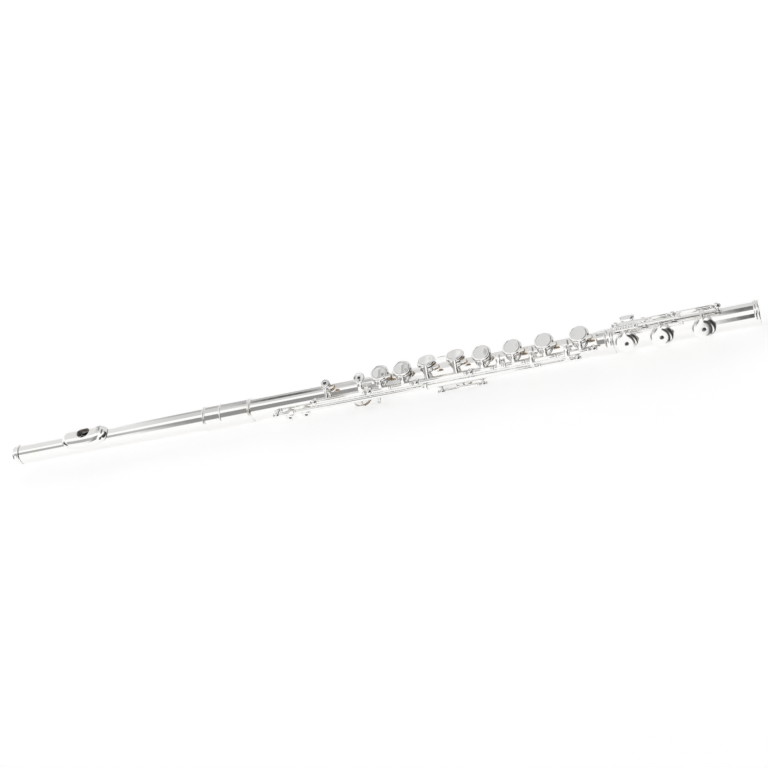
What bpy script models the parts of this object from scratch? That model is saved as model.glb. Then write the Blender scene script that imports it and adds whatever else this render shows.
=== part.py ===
"""Concert flute: closed-hole keys, offset G, C foot joint.

Every length below is in millimetres and every angle in degrees. MM turns them into metres
as a mesh is made. The flute lies along X, crown at -X and foot joint at +X. A place on it is
(station, angle, radius): the station runs along the tube's axis from a point close to the
embouchure hole, and the angle runs round the tube from its top towards the player's side, -Y.
Keys are drawn in their closed place, and those that stand open are then turned about their
hinge, so each key's origin is on its hinge's axis.
"""
import math

import bmesh
import bpy
from mathutils import Matrix, Vector

MM = 0.001
GAP = 0.3                       # clearance between neighbouring pieces

# ---- tubes ---------------------------------------------------------------------------
BORE_R = 9.5
WALL = 0.4
TUBE_R = BORE_R + WALL
SLEEVE_IN_R = TUBE_R + 0.35
SLEEVE_OUT_R = 10.8
CROWN_END = -69.0
HEAD_START = -62.0
HEAD_END = 166.0
EMBOUCHURE = 7.5                # the middle of the embouchure hole
BODY_START = 166.6
BODY_END = 487.4
FOOT_START = 488.0
FOOT_END = 604.0
BARREL = (125.0, 171.0)
BARREL_BEAD = 2.6               # length of the bead at each of its ends
BARREL_BEAD_R = 11.5
BARREL_BAND = (141.3, 142.7)
BARREL_BAND_R = 11.2
SOCKET = (476.0, 489.5)
SOCKET_COLLAR = 7.0
SOCKET_COLLAR_R = 11.6
END_RING = 4.0
END_RING_R = 11.0
HEAD_BORE = ((HEAD_START, 8.55), (EMBOUCHURE, 8.75), (62.0, 9.2), (118.0, BORE_R), (HEAD_END, BORE_R))
TUBE_STEPS = 20
CUP_STEPS = 12
SMALL_STEPS = 8                 # hinges, posts, steels and the small cups

# ---- embouchure and stopper ----------------------------------------------------------
HOLE_HALF_X = 6.2
HOLE_HALF_Y = 5.2
PLATE_HALF_X = 23.0
PLATE_HALF_ANGLE = 66.0
PLATE_SHIFT = 6.0               # the plate's middle leans towards the lip
PLATE_TOP_R = 13.8
PLATE_EDGE_R = 10.4
PLATE_THICK = 0.8
PLATE_FALL = 6                  # how late the plate's crown falls away towards its edge
PLATE_SQUARE = 0.4              # how far the outline leaves an ellipse for a rounded rectangle
STOPPER_FACE = EMBOUCHURE - 17.3
STOPPER_R = 8.3
STEM_R = 1.5
STEM_END = -63.5
STEM_HOLE_R = STEM_R + 0.4
DISC = 1.3                      # the stopper's face, which is one piece with its stem
CORK_LENGTH = 18.0
CORK_PLATE = 1.4
CROWN_R = 9.6
CROWN_FLAT_R = 8.4
CROWN_PLUG = 6.0                # how far the crown reaches into the tube
RISER_WALL = 1.0

# ---- tone holes ----------------------------------------------------------------------
RIM_R = 11.4                    # top of each tone hole's wall, from the tube's axis
RIM_WALL = 0.6
SEAT_R = RIM_R + GAP            # underside of a closed pad
BODY_HOLE = 7.0
FOOT_HOLE = 7.9
SMALL_HOLE = 3.3
CUP_OVERHANG = 1.4              # a cup's radius over its hole's
CUP_WALL = 0.5
CUP_LOW = 0.7                   # heights of a cup over its closed pad's underside
CUP_ROOF = 2.4
CUP_MIDDLE = 2.95
CUP_EDGE = 3.3
PAD_THICK = 2.1
ARM_INTO_CUP = 1.2              # how far an arm laps over its cup's edge

# ---- hinge rods: angle and radius of the axis -----------------------------------------
MAIN_ROD = (57.0, 15.5)
TRILL_ROD = (77.0, 15.5)
THUMB_ROD = (-127.0, 14.5)
G_SHARP_ROD = (127.0, 14.5)
FOOT_ROD = (-4.0, 15.5)
STEEL_R = 1.1
HINGE_IN_R = 1.5
HINGE_OUT_R = 1.9
STEEL_PROUD = 2.4               # how far a steel passes the middle of its end post
STEEL_SPLIT = 0.5               # half the gap between two steels that share a post
LEVER_THICK = 1.2
ARM_THICK = 1.5
ARM_WIDTH = 3.6
POST_BALL_R = 2.7
POST_STEM_R = 1.4
GUIDE_BALL_R = 3.3              # the post that a whole hinge tube passes through
GUIDE_HOLE_R = HINGE_OUT_R + 0.4
RIB_R = (TUBE_R + 0.35, 11.1)

OBJECT_NAME = "concert_flute"
SILVER = ((0.93, 0.93, 0.92), 0.10, 1.0)
STEEL = ((0.72, 0.73, 0.75), 0.22, 1.0)
PAD = ((0.80, 0.70, 0.50), 0.75, 0.0)
CORK = ((0.62, 0.44, 0.27), 0.85, 0.0)


# ---- scene ---------------------------------------------------------------------------
def clear_scene():
    for old in list(bpy.data.objects):
        bpy.data.objects.remove(old, do_unlink=True)


def new_collection(name):
    collection = bpy.data.collections.new(name)
    bpy.context.scene.collection.children.link(collection)
    return collection


clear_scene()
PARTS = new_collection(OBJECT_NAME)
CUTTERS = new_collection("cutters")
FLUTE_FRAME = bpy.data.objects.new("flute_frame", None)
PARTS.objects.link(FLUTE_FRAME)


def finish_material(part_name, finish):
    colour, roughness, metallic = finish
    material = bpy.data.materials.new(part_name)
    material.use_nodes = True
    shader = material.node_tree.nodes["Principled BSDF"]
    shader.inputs["Base Color"].default_value = (*colour, 1.0)
    shader.inputs["Roughness"].default_value = roughness
    shader.inputs["Metallic"].default_value = metallic
    return material


# ---- places --------------------------------------------------------------------------
def station(s, angle, radius):
    turn = math.radians(angle)
    return Vector((s, -radius * math.sin(turn), radius * math.cos(turn)))


def radial_frame(s, angle, radius):
    """Local Z points away from the tube's axis and local X along the tube."""
    origin = station(s, angle, radius) * MM
    return Matrix.Translation(origin) @ Matrix.Rotation(math.radians(angle), 4, "X")


def axial_frame(angle=0.0, radius=0.0):
    """Local Z runs along the tube, so a turned profile's height is a station."""
    origin = station(0.0, angle, radius) * MM
    return Matrix.Translation(origin) @ Matrix.Rotation(math.radians(90.0), 4, "Y")


# ---- shapes --------------------------------------------------------------------------
def evaluated_mesh(obj):
    bpy.context.view_layer.update()
    depsgraph = bpy.context.evaluated_depsgraph_get()
    return bpy.data.meshes.new_from_object(obj.evaluated_get(depsgraph))


def clean(mesh, matrix=None):
    edit = bmesh.new()
    edit.from_mesh(mesh)
    bmesh.ops.remove_doubles(edit, verts=edit.verts, dist=0.00001)
    if matrix is not None:
        bmesh.ops.transform(edit, matrix=matrix, verts=edit.verts)
    bmesh.ops.recalc_face_normals(edit, faces=edit.faces)
    edit.to_mesh(mesh)
    edit.free()
    return mesh


def shape_from(source, matrix):
    """Turn a guide object with modifiers, or a curve, into a plain cutter or base shape."""
    mesh = clean(evaluated_mesh(source), matrix)
    bpy.data.objects.remove(source, do_unlink=True)
    shape = bpy.data.objects.new("shape", mesh)
    shape.display_type = "WIRE"
    shape.hide_render = True
    CUTTERS.objects.link(shape)
    return shape


def turned(profile, matrix, steps=TUBE_STEPS, closed=False):
    """A turned solid: (radius, height) points, down the outer side from the top."""
    mesh = bpy.data.meshes.new("profile")
    points = [(radius * MM, 0.0, height * MM) for radius, height in profile]
    edges = [(i, i + 1) for i in range(len(points) - 1)]
    if closed:
        edges.append((len(points) - 1, 0))
    mesh.from_pydata(points, edges, [])
    guide = bpy.data.objects.new("profile", mesh)
    CUTTERS.objects.link(guide)
    screw = guide.modifiers.new("turn", "SCREW")
    screw.axis = "Z"
    screw.steps = steps
    screw.render_steps = steps
    screw.use_merge_vertices = True
    screw.merge_threshold = 0.00001
    return shape_from(guide, matrix)


def rod(radius, low, high, matrix, steps=SMALL_STEPS):
    return turned([(0, high), (radius, high), (radius, low), (0, low)], matrix, steps)


def ring(inner, outer, low, high, matrix, steps=TUBE_STEPS):
    profile = [(outer, high), (outer, low), (inner, low), (inner, high)]
    return turned(profile, matrix, steps, closed=True)


def extruded(outline, s_low, s_high):
    """A flat outline of (y, z) points across the tube, extruded along it."""
    curve = bpy.data.curves.new("outline", "CURVE")
    curve.dimensions = "2D"
    curve.fill_mode = "BOTH"
    curve.extrude = 0.5 * (s_high - s_low) * MM
    spline = curve.splines.new("POLY")
    spline.points.add(len(outline) - 1)
    for point, (y, z) in zip(spline.points, outline):
        point.co = (y * MM, z * MM, 0.0, 1.0)
    spline.use_cyclic_u = True
    guide = bpy.data.objects.new("outline", curve)
    CUTTERS.objects.link(guide)
    to_flute = Matrix(((0, 0, 1, 0.5 * (s_low + s_high) * MM), (1, 0, 0, 0), (0, 1, 0, 0), (0, 0, 0, 1)))
    return shape_from(guide, to_flute)


def strap(path, s_low, s_high, thick=ARM_THICK):
    """A bent bar that follows a path of (y, z) points across the tube."""
    points = [Vector(p) for p in path]
    left, right = [], []
    for i, point in enumerate(points):
        before = (point - points[i - 1]).normalized() if i else None
        after = (points[i + 1] - point).normalized() if i + 1 < len(points) else None
        along = ((before or after) + (after or before)).normalized()
        normal = Vector((-along.y, along.x))
        stretch = 1.0 / max(0.5, along.dot(after or before))
        left.append(point + normal * 0.5 * thick * stretch)
        right.append(point - normal * 0.5 * thick * stretch)
    return extruded([tuple(p) for p in left + right[::-1]], s_low, s_high)


def band(inner, outer, angle_low, angle_high, s_low, s_high, steps=5):
    """A plate curved round the tube's axis."""
    angles = [angle_low + (angle_high - angle_low) * i / steps for i in range(steps + 1)]
    outside = [station(0, a, outer).yz for a in angles]
    inside = [station(0, a, inner).yz for a in reversed(angles)]
    return extruded([tuple(p) for p in outside + inside], s_low, s_high)


def block(s_low, s_high, y_low, y_high, z_low, z_high):
    corners = [(y_low, z_low), (y_high, z_low), (y_high, z_high), (y_low, z_high)]
    return extruded(corners, s_low, s_high)


def combined(base, others, operation):
    """Join or cut with exact booleans, then drop the tools."""
    for other in others:
        boolean = base.modifiers.new("boolean", "BOOLEAN")
        boolean.operation = operation
        boolean.solver = "EXACT"
        boolean.object = other
        mesh = clean(evaluated_mesh(base))
        base.modifiers.clear()
        base.data = mesh
        bpy.data.objects.remove(other, do_unlink=True)
    return base


def part(name, shape, finish, pivot=None, turn=0.0):
    """Make a shape into a named part, with its origin on its joint's axis."""
    origin = (pivot or Vector((0, 0, 0))) * MM
    shape.data.transform(Matrix.Translation(-origin))
    shape.data.shade_smooth()
    shape.data.set_sharp_from_angle(angle=math.radians(35.0))
    shape.data.name = name
    shape.name = name
    shape.display_type = "TEXTURED"
    shape.hide_render = False
    CUTTERS.objects.unlink(shape)
    PARTS.objects.link(shape)
    shape.data.materials.clear()
    shape.data.materials.append(finish_material(name, finish))
    shape.parent = FLUTE_FRAME
    shape.location = origin
    shape.rotation_euler = (math.radians(turn), 0.0, 0.0)
    return shape


# ---- head joint ----------------------------------------------------------------------
def make_head_tube():
    bore = [(radius, s) for s, radius in HEAD_BORE]
    outside = [(radius + WALL, s) for s, radius in reversed(HEAD_BORE)]
    tube = turned(outside + bore, axial_frame(), TUBE_STEPS, closed=True)
    part("headjoint_tube", combined(tube, [embouchure_hole()], "DIFFERENCE"), SILVER)


def embouchure_hole():
    flatten = Matrix.Diagonal((1.0, HOLE_HALF_Y / HOLE_HALF_X, 1.0, 1.0))
    return rod(HOLE_HALF_X, 0.0, 16.0, radial_frame(EMBOUCHURE, 0, 0) @ flatten, TUBE_STEPS)


def make_lip_plate():
    """Rings of points between the hole's edge and the plate's outline, wrapped round the tube."""
    rings = 3
    start_half_angle = math.degrees(math.asin(HOLE_HALF_Y / PLATE_TOP_R))
    edit = bmesh.new()
    loop = bmesh.ops.create_circle(edit, segments=TUBE_STEPS, radius=1.0)["verts"]
    directions = [(v.co.x, v.co.y) for v in loop]
    edges = list(edit.edges)
    for ring_number in range(rings + 1):
        t = ring_number / rings
        half_x = HOLE_HALF_X + (PLATE_HALF_X - HOLE_HALF_X) * t
        half_angle = start_half_angle + (PLATE_HALF_ANGLE - start_half_angle) * t
        radius = PLATE_EDGE_R + (PLATE_TOP_R - PLATE_EDGE_R) * (1.0 - t ** PLATE_FALL)
        squareness = 1.0 / (1.0 + PLATE_SQUARE * t)
        for vert, direction in zip(loop, directions):
            across, round_it = [math.copysign(abs(part_of_one) ** squareness, part_of_one)
                                for part_of_one in direction]
            angle = half_angle * round_it + PLATE_SHIFT * t
            vert.co = station(EMBOUCHURE + half_x * across, angle, radius) * MM
        if ring_number < rings:
            made = bmesh.ops.extrude_edge_only(edit, edges=edges)["geom"]
            new_verts = [g for g in made if isinstance(g, bmesh.types.BMVert)]
            by_place = {tuple(v.co): v for v in new_verts}
            loop = [by_place[tuple(v.co)] for v in loop]
            edges = [g for g in made if isinstance(g, bmesh.types.BMEdge)
                     and g.verts[0] in new_verts and g.verts[1] in new_verts]
    bmesh.ops.recalc_face_normals(edit, faces=edit.faces)
    mesh = bpy.data.meshes.new("lip_plate")
    edit.to_mesh(mesh)
    edit.free()
    guide = bpy.data.objects.new("lip_plate_sheet", mesh)
    CUTTERS.objects.link(guide)
    shell = guide.modifiers.new("sheet", "SOLIDIFY")
    shell.thickness = PLATE_THICK * MM
    outward = sum((f.normal.dot(f.center.yz.to_3d().zxy) for f in mesh.polygons))
    shell.offset = -1.0 if outward > 0 else 1.0
    part("lip_plate", shape_from(guide, None), SILVER)


def make_riser():
    flatten = Matrix.Diagonal((1.0, HOLE_HALF_Y / HOLE_HALF_X, 1.0, 1.0))
    upright = radial_frame(EMBOUCHURE, 0, 0) @ flatten
    riser = ring(HOLE_HALF_X, HOLE_HALF_X + RISER_WALL, 7.0, PLATE_TOP_R, upright, TUBE_STEPS)
    tube_r = HEAD_BORE[1][1] + WALL + GAP + 0.05
    under_plate_r = PLATE_TOP_R - PLATE_THICK - GAP - 0.15
    low, high = EMBOUCHURE - 12, EMBOUCHURE + 12
    combined(riser, [rod(tube_r, low, high, axial_frame(), TUBE_STEPS)], "DIFFERENCE")
    combined(riser, [rod(under_plate_r, low, high, axial_frame(), 2 * TUBE_STEPS)], "INTERSECT")
    part("embouchure_riser", riser, SILVER)


def make_crown():
    plug_r = STOPPER_R - 0.1
    shoulder = HEAD_START - GAP
    plug_end = shoulder + CROWN_PLUG
    profile = [
        (0, CROWN_END + 3.0), (STEM_HOLE_R, CROWN_END + 3.0), (STEM_HOLE_R, plug_end), (plug_r, plug_end),
        (plug_r, shoulder), (CROWN_R - 0.2, shoulder), (CROWN_R, shoulder - 2.0),
        (CROWN_R - 0.2, CROWN_END + 1.5), (CROWN_FLAT_R, CROWN_END), (0, CROWN_END),
    ]
    part("crown", turned(profile, axial_frame(), TUBE_STEPS), SILVER)


def make_stopper():
    under_disc = STOPPER_FACE - DISC
    screw = [
        (0, STOPPER_FACE), (STOPPER_R, STOPPER_FACE), (STOPPER_R, under_disc), (STEM_R, under_disc),
        (STEM_R, STEM_END), (0, STEM_END),
    ]
    part("stopper_screw", turned(screw, axial_frame(), CUP_STEPS), SILVER)
    high = under_disc - GAP
    for name, length, finish in (("stopper_cork", CORK_LENGTH, CORK), ("stopper_plate", CORK_PLATE, SILVER)):
        low = high - length
        part(name, ring(STEM_HOLE_R, STOPPER_R, low, high, axial_frame(), CUP_STEPS), finish)
        high = low - GAP


# ---- body and foot tubes --------------------------------------------------------------
def tube_with_holes(name, low, high, holes):
    """A tube whose tone holes are drawn up out of its own wall; holes: (station, angle, radius)."""
    tube = rod(TUBE_R, low, high, axial_frame(), TUBE_STEPS)
    walls = [rod(r + RIM_WALL, 6.0, RIM_R, radial_frame(s, a, 0), hole_steps(r)) for s, a, r in holes]
    combined(tube, walls, "UNION")
    combined(tube, [rod(BORE_R, low - 5, high + 5, axial_frame(), TUBE_STEPS)], "DIFFERENCE")
    openings = [rod(r, 5.0, RIM_R + 3, radial_frame(s, a, 0), hole_steps(r)) for s, a, r in holes]
    part(name, combined(tube, openings, "DIFFERENCE"), SILVER)


def hole_steps(radius):
    return CUP_STEPS if radius > 5 else SMALL_STEPS


def sleeve(name, low, high, beads):
    """A sleeve with beads, each (low, high, radius), listed from its top end down."""
    profile = []
    for bead_low, bead_high, bead_r in beads:
        profile += [(SLEEVE_OUT_R, bead_high), (bead_r, bead_high - 0.3), (bead_r, bead_low + 0.3),
                    (SLEEVE_OUT_R, bead_low)]
    profile += [(SLEEVE_IN_R, low), (SLEEVE_IN_R, high)]
    if beads[-1][0] > low:
        profile.insert(len(profile) - 2, (SLEEVE_OUT_R, low))
    part(name, turned(profile, axial_frame(), TUBE_STEPS, closed=True), SILVER)


# ---- posts, ribs and steels -----------------------------------------------------------
def post(s, rod_place, ball_r=POST_BALL_R):
    """A turned post that stands on its rib and ends in a ball round the hinge's axis."""
    angle, radius = rod_place
    arc = [(ball_r * math.sin(math.radians(a)), radius + ball_r * math.cos(math.radians(a)))
           for a in (0, 50, 90, 130)]
    foot = [(POST_STEM_R, radius - ball_r - 0.2), (POST_STEM_R + 0.5, RIB_R[0] + 0.4), (0, RIB_R[0] + 0.4)]
    return turned(arc + foot, radial_frame(s, angle, 0), SMALL_STEPS)


def make_rib(name, s_low, s_high, angles, posts):
    """A curved rib with its posts; posts: (station, rod, ball radius, hole radius)."""
    rib = band(*RIB_R, *angles, s_low, s_high)
    combined(rib, [post(s, place, ball) for s, place, ball, hole in posts], "UNION")
    holes = [rod(hole, s - 5, s + 5, axial_frame(*place)) for s, place, ball, hole in posts]
    part(name, combined(rib, holes, "DIFFERENCE"), SILVER)


def make_steel(name, place, low, high):
    part(name, rod(STEEL_R, low, high, axial_frame(*place)), STEEL)


# ---- keys ----------------------------------------------------------------------------
def cup_edge(rod_place, cup, height=2.6):
    """Where an arm meets the rim of a cup, on the side of its hinge, as (y, z)."""
    s, angle, hole_r = cup
    middle = station(0, angle, SEAT_R + height).yz
    hinge = station(0, *rod_place).yz
    normal = station(0, angle, 1.0).yz
    towards = hinge - middle
    towards = (towards - normal * towards.dot(normal)).normalized()
    return tuple(middle + towards * (hole_r + CUP_OVERHANG - ARM_INTO_CUP))


def cup_body(cup):
    s, angle, hole_r = cup
    r = hole_r + CUP_OVERHANG
    profile = [(0, CUP_MIDDLE), (r - ARM_INTO_CUP, CUP_EDGE), (r, CUP_EDGE - 0.2), (r, CUP_LOW), (0, CUP_LOW)]
    return turned(profile, radial_frame(s, angle, SEAT_R), hole_steps(hole_r))


def cup_hollow(cup):
    s, angle, hole_r = cup
    radius = hole_r + CUP_OVERHANG - CUP_WALL
    return rod(radius, -1.0, CUP_ROOF, radial_frame(s, angle, SEAT_R), hole_steps(hole_r))


def make_pad(name, cup, rod_place, turn):
    s, angle, hole_r = cup
    r = hole_r + CUP_OVERHANG - CUP_WALL - 0.35
    pad = rod(r, 0.0, PAD_THICK, radial_frame(s, angle, SEAT_R), hole_steps(hole_r))
    part(name, pad, PAD, station(s, *rod_place), turn)


def make_key(name, rod_place, tube, cups=(), extras=(), turn=0.0, pads=(), hinge=None):
    """A hinge tube, an arm and a cup for each tone hole, and any levers, as one soldered key."""
    low, high = tube
    key = hinge or rod(HINGE_OUT_R, low, high, axial_frame(*rod_place))
    centre = tuple(station(0, *rod_place).yz)
    arms = [strap([centre, cup_edge(rod_place, cup)], cup[0] - ARM_WIDTH / 2, cup[0] + ARM_WIDTH / 2)
            for cup in cups]
    combined(key, arms + [cup_body(cup) for cup in cups] + list(extras), "UNION")
    combined(key, [cup_hollow(cup) for cup in cups], "DIFFERENCE")
    if hinge is None:
        combined(key, [rod(HINGE_IN_R, low - 2, high + 2, axial_frame(*rod_place))], "DIFFERENCE")
    part(name, key, SILVER, station(low, *rod_place), turn)
    for pad_name, cup in zip(pads, cups):
        make_pad(pad_name, cup, rod_place, turn)


# ---- the layout of the keywork ----------------------------------------------------------
C_SHARP_CUP = (244.0, 0.0, SMALL_HOLE)
TOP_CUPS = {
    "b_flat": (293.0, 0.0, BODY_HOLE), "a": (313.0, 0.0, BODY_HOLE),
    "g_upper": (334.0, -18.0, BODY_HOLE), "g_lower": (359.0, -18.0, BODY_HOLE),
    "f_sharp": (382.0, 0.0, BODY_HOLE), "f": (408.0, 0.0, BODY_HOLE),
    "e": (434.5, 0.0, BODY_HOLE), "d": (463.5, 0.0, BODY_HOLE),
}
THUMB_CUP = (268.0, 180.0, BODY_HOLE)
G_SHARP_CUP = (359.0, 180.0, BODY_HOLE)
D_SHARP_TRILL_CUP = (205.5, 104.0, SMALL_HOLE)
D_TRILL_CUP = (220.5, 104.0, SMALL_HOLE)
FOOT_CUPS = {
    "foot_d_sharp": (500.0, 62.0, FOOT_HOLE), "low_c_sharp": (528.0, 66.0, FOOT_HOLE),
    "low_c": (561.0, 66.0, FOOT_HOLE),
}
MAIN_POSTS = (232.0, 281.5, 323.5, 370.5, 473.0)
TRILL_POSTS = (196.0, 330.5, 459.0)
THUMB_POSTS = (259.0, 294.5)
G_SHARP_POSTS = (341.0, 377.0)
FOOT_POSTS = (493.5, 515.5, 538.5, 573.0)
KEY_OPEN = 10.0
G_OPEN = 8.0
FOOT_OPEN = 8.0
TOUCH_R = (16.2, 17.2)
ROLLER = (495.0, 510.0)
ROLLER_AT = (-8.2, 18.9)
ROLLER_R = 2.0
ROLLER_PIN_R = 0.8
EAR = 1.2                       # thickness of the ears that hold the roller's pin


def posts_on(rod_place, stations):
    return [(s, rod_place, POST_BALL_R, HINGE_IN_R) for s in stations]


def make_ribs():
    guide = (TRILL_POSTS[1], TRILL_ROD, GUIDE_BALL_R, GUIDE_HOLE_R)
    make_rib("trill_post_base", 192.0, 200.0, (70, 84), posts_on(TRILL_ROD, TRILL_POSTS[:1]))
    make_rib("upper_rib", 228.0, 334.0, (52, 82), posts_on(MAIN_ROD, MAIN_POSTS[:3]) + [guide])
    lower = posts_on(MAIN_ROD, MAIN_POSTS[3:]) + posts_on(TRILL_ROD, TRILL_POSTS[2:])
    make_rib("lower_rib", 367.0, 475.6, (52, 82), lower)
    make_rib("thumb_rib", 255.5, 298.0, (-117, -130), posts_on(THUMB_ROD, THUMB_POSTS))
    make_rib("g_sharp_rib", 337.5, 380.5, (117, 130), posts_on(G_SHARP_ROD, G_SHARP_POSTS))
    make_rib("foot_rib", 491.0, 576.5, (-13, 1), posts_on(FOOT_ROD, FOOT_POSTS))


def make_steels():
    make_steel("left_hand_steel", MAIN_ROD, MAIN_POSTS[0] - STEEL_PROUD, MAIN_POSTS[2] - STEEL_SPLIT)
    make_steel("g_steel", MAIN_ROD, MAIN_POSTS[2] + STEEL_SPLIT, MAIN_POSTS[3] - STEEL_SPLIT)
    make_steel("right_hand_steel", MAIN_ROD, MAIN_POSTS[3] + STEEL_SPLIT, MAIN_POSTS[4] + STEEL_PROUD - 0.2)
    ends = (("thumb_steel", THUMB_ROD, THUMB_POSTS), ("g_sharp_steel", G_SHARP_ROD, G_SHARP_POSTS),
            ("foot_steel", FOOT_ROD, FOOT_POSTS))
    for name, place, posts in ends:
        make_steel(name, place, posts[0] - STEEL_PROUD, posts[-1] + STEEL_PROUD)


def make_left_hand_keys():
    finger = 276.0
    finger_arm = strap([tuple(station(0, *MAIN_ROD).yz), (-11.5, 14.0), (-6.0, 17.0)], finger - 2, finger + 2)
    finger_touch = turned([(0, 1.3), (4.2, 1.5), (5.2, 1.2), (5.2, 0), (0, 0)],
                          Matrix.Translation(Vector((finger, -3.2, 16.4)) * MM), CUP_STEPS)
    make_key("c_sharp_key", MAIN_ROD, (235.2, 278.3), [C_SHARP_CUP], [finger_arm, finger_touch], KEY_OPEN,
             ["c_sharp_pad"])
    make_key("b_flat_key", MAIN_ROD, (284.7, 301.5), [TOP_CUPS["b_flat"]], (), KEY_OPEN, ["b_flat_pad"])
    make_key("a_key", MAIN_ROD, (302.0, 320.3), [TOP_CUPS["a"]], (), KEY_OPEN, ["a_pad"])
    make_key("g_key", MAIN_ROD, (326.7, 367.3), [TOP_CUPS["g_upper"], TOP_CUPS["g_lower"]], (), G_OPEN,
             ["g_upper_pad", "g_lower_pad"])


def make_right_hand_keys():
    make_key("f_sharp_key", MAIN_ROD, (373.7, 390.5), [TOP_CUPS["f_sharp"]], (), KEY_OPEN, ["f_sharp_pad"])
    lever_path = [tuple(station(0, *MAIN_ROD).yz), (-14.6, 12.0), (-11.8, 15.6), (-6.6, 17.2)]
    lever = strap(lever_path, 393.4, 398.6, LEVER_THICK)
    make_key("side_b_flat_lever", MAIN_ROD, (391.0, 401.0), (), [lever], 0.0)
    make_key("f_key", MAIN_ROD, (401.5, 417.0), [TOP_CUPS["f"]], (), KEY_OPEN, ["f_pad"])
    make_key("e_key", MAIN_ROD, (417.5, 443.0), [TOP_CUPS["e"]], (), KEY_OPEN, ["e_pad"])
    make_key("d_key", MAIN_ROD, (443.5, 469.8), [TOP_CUPS["d"]], (), KEY_OPEN, ["d_pad"])


def trill_touch(s):
    """An arm from the trill rod, out over the main rod, to a touch between two cups."""
    arm = [tuple(station(0, *TRILL_ROD).yz), (-18.2, 8.5), (-14.6, 13.9), (-10.5, 15.9)]
    half_arm, half_touch = ARM_WIDTH / 2, 3.2
    touch = block(s - half_touch, s + half_touch, -11.2, -5.2, 15.6, 15.6 + LEVER_THICK)
    return [strap(arm, s - half_arm, s + half_arm, LEVER_THICK), touch]


def make_trill_keys():
    low, high = TRILL_POSTS[0] - STEEL_PROUD, TRILL_POSTS[2] + STEEL_PROUD - 0.2
    sleeve_low, sleeve_high = (199.2, 212.0), (446.5, 455.8)
    spindle = turned([
        (0, high), (STEEL_R, high), (STEEL_R, sleeve_high[1]), (HINGE_OUT_R, sleeve_high[1]),
        (HINGE_OUT_R, sleeve_high[0]), (STEEL_R, sleeve_high[0]), (STEEL_R, sleeve_low[1]),
        (HINGE_OUT_R, sleeve_low[1]), (HINGE_OUT_R, sleeve_low[0]), (STEEL_R, sleeve_low[0]),
        (STEEL_R, low), (0, low)], axial_frame(*TRILL_ROD), SMALL_STEPS)
    make_key("d_sharp_trill_key", TRILL_ROD, sleeve_low, [D_SHARP_TRILL_CUP], trill_touch(452.0), 0.0,
             ["d_sharp_trill_pad"], spindle)
    make_key("d_trill_key", TRILL_ROD, (212.6, 429.0), [D_TRILL_CUP], trill_touch(423.0), 0.0,
             ["d_trill_pad"])


def make_thumb_keys():
    near_edge = (-THUMB_CUP[2] - CUP_OVERHANG + ARM_INTO_CUP, -14.0)
    link = strap([near_edge, (-12.2, -11.7)], 266.2, 269.8)
    touch = band(*TOUCH_R, 139, 100, 264.0, 275.6)
    make_key("thumb_key", THUMB_ROD, (262.3, 277.3), [THUMB_CUP], [link, touch], 0.0, ["thumb_pad"])
    lever_path = [tuple(station(0, *THUMB_ROD).yz), (6.0, -13.2), (-4.0, -14.0), (-12.2, -11.7)]
    lever = strap(lever_path, 281.0, 284.6)
    lever_touch = band(*TOUCH_R, 139, 102, 278.4, 288.6)
    make_key("thumb_b_flat_lever", THUMB_ROD, (278.0, 291.2), (), [lever, lever_touch], 0.0)


def make_g_sharp_key():
    far_edge = (G_SHARP_CUP[2] + CUP_OVERHANG - ARM_INTO_CUP, -14.0)
    link = strap([far_edge, (11.6, -12.2), (15.8, -6.5)], 357.4, 360.4)
    arm = band(*TOUCH_R, -118, -84, 357.2, 360.8)
    touch = band(TOUCH_R[0] - 0.2, TOUCH_R[1] + 0.2, -92, -74, 338.0, 361.2)
    make_key("g_sharp_key", G_SHARP_ROD, (344.2, 373.8), [G_SHARP_CUP], [link, arm, touch], 0.0,
             ["g_sharp_pad"])


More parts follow.
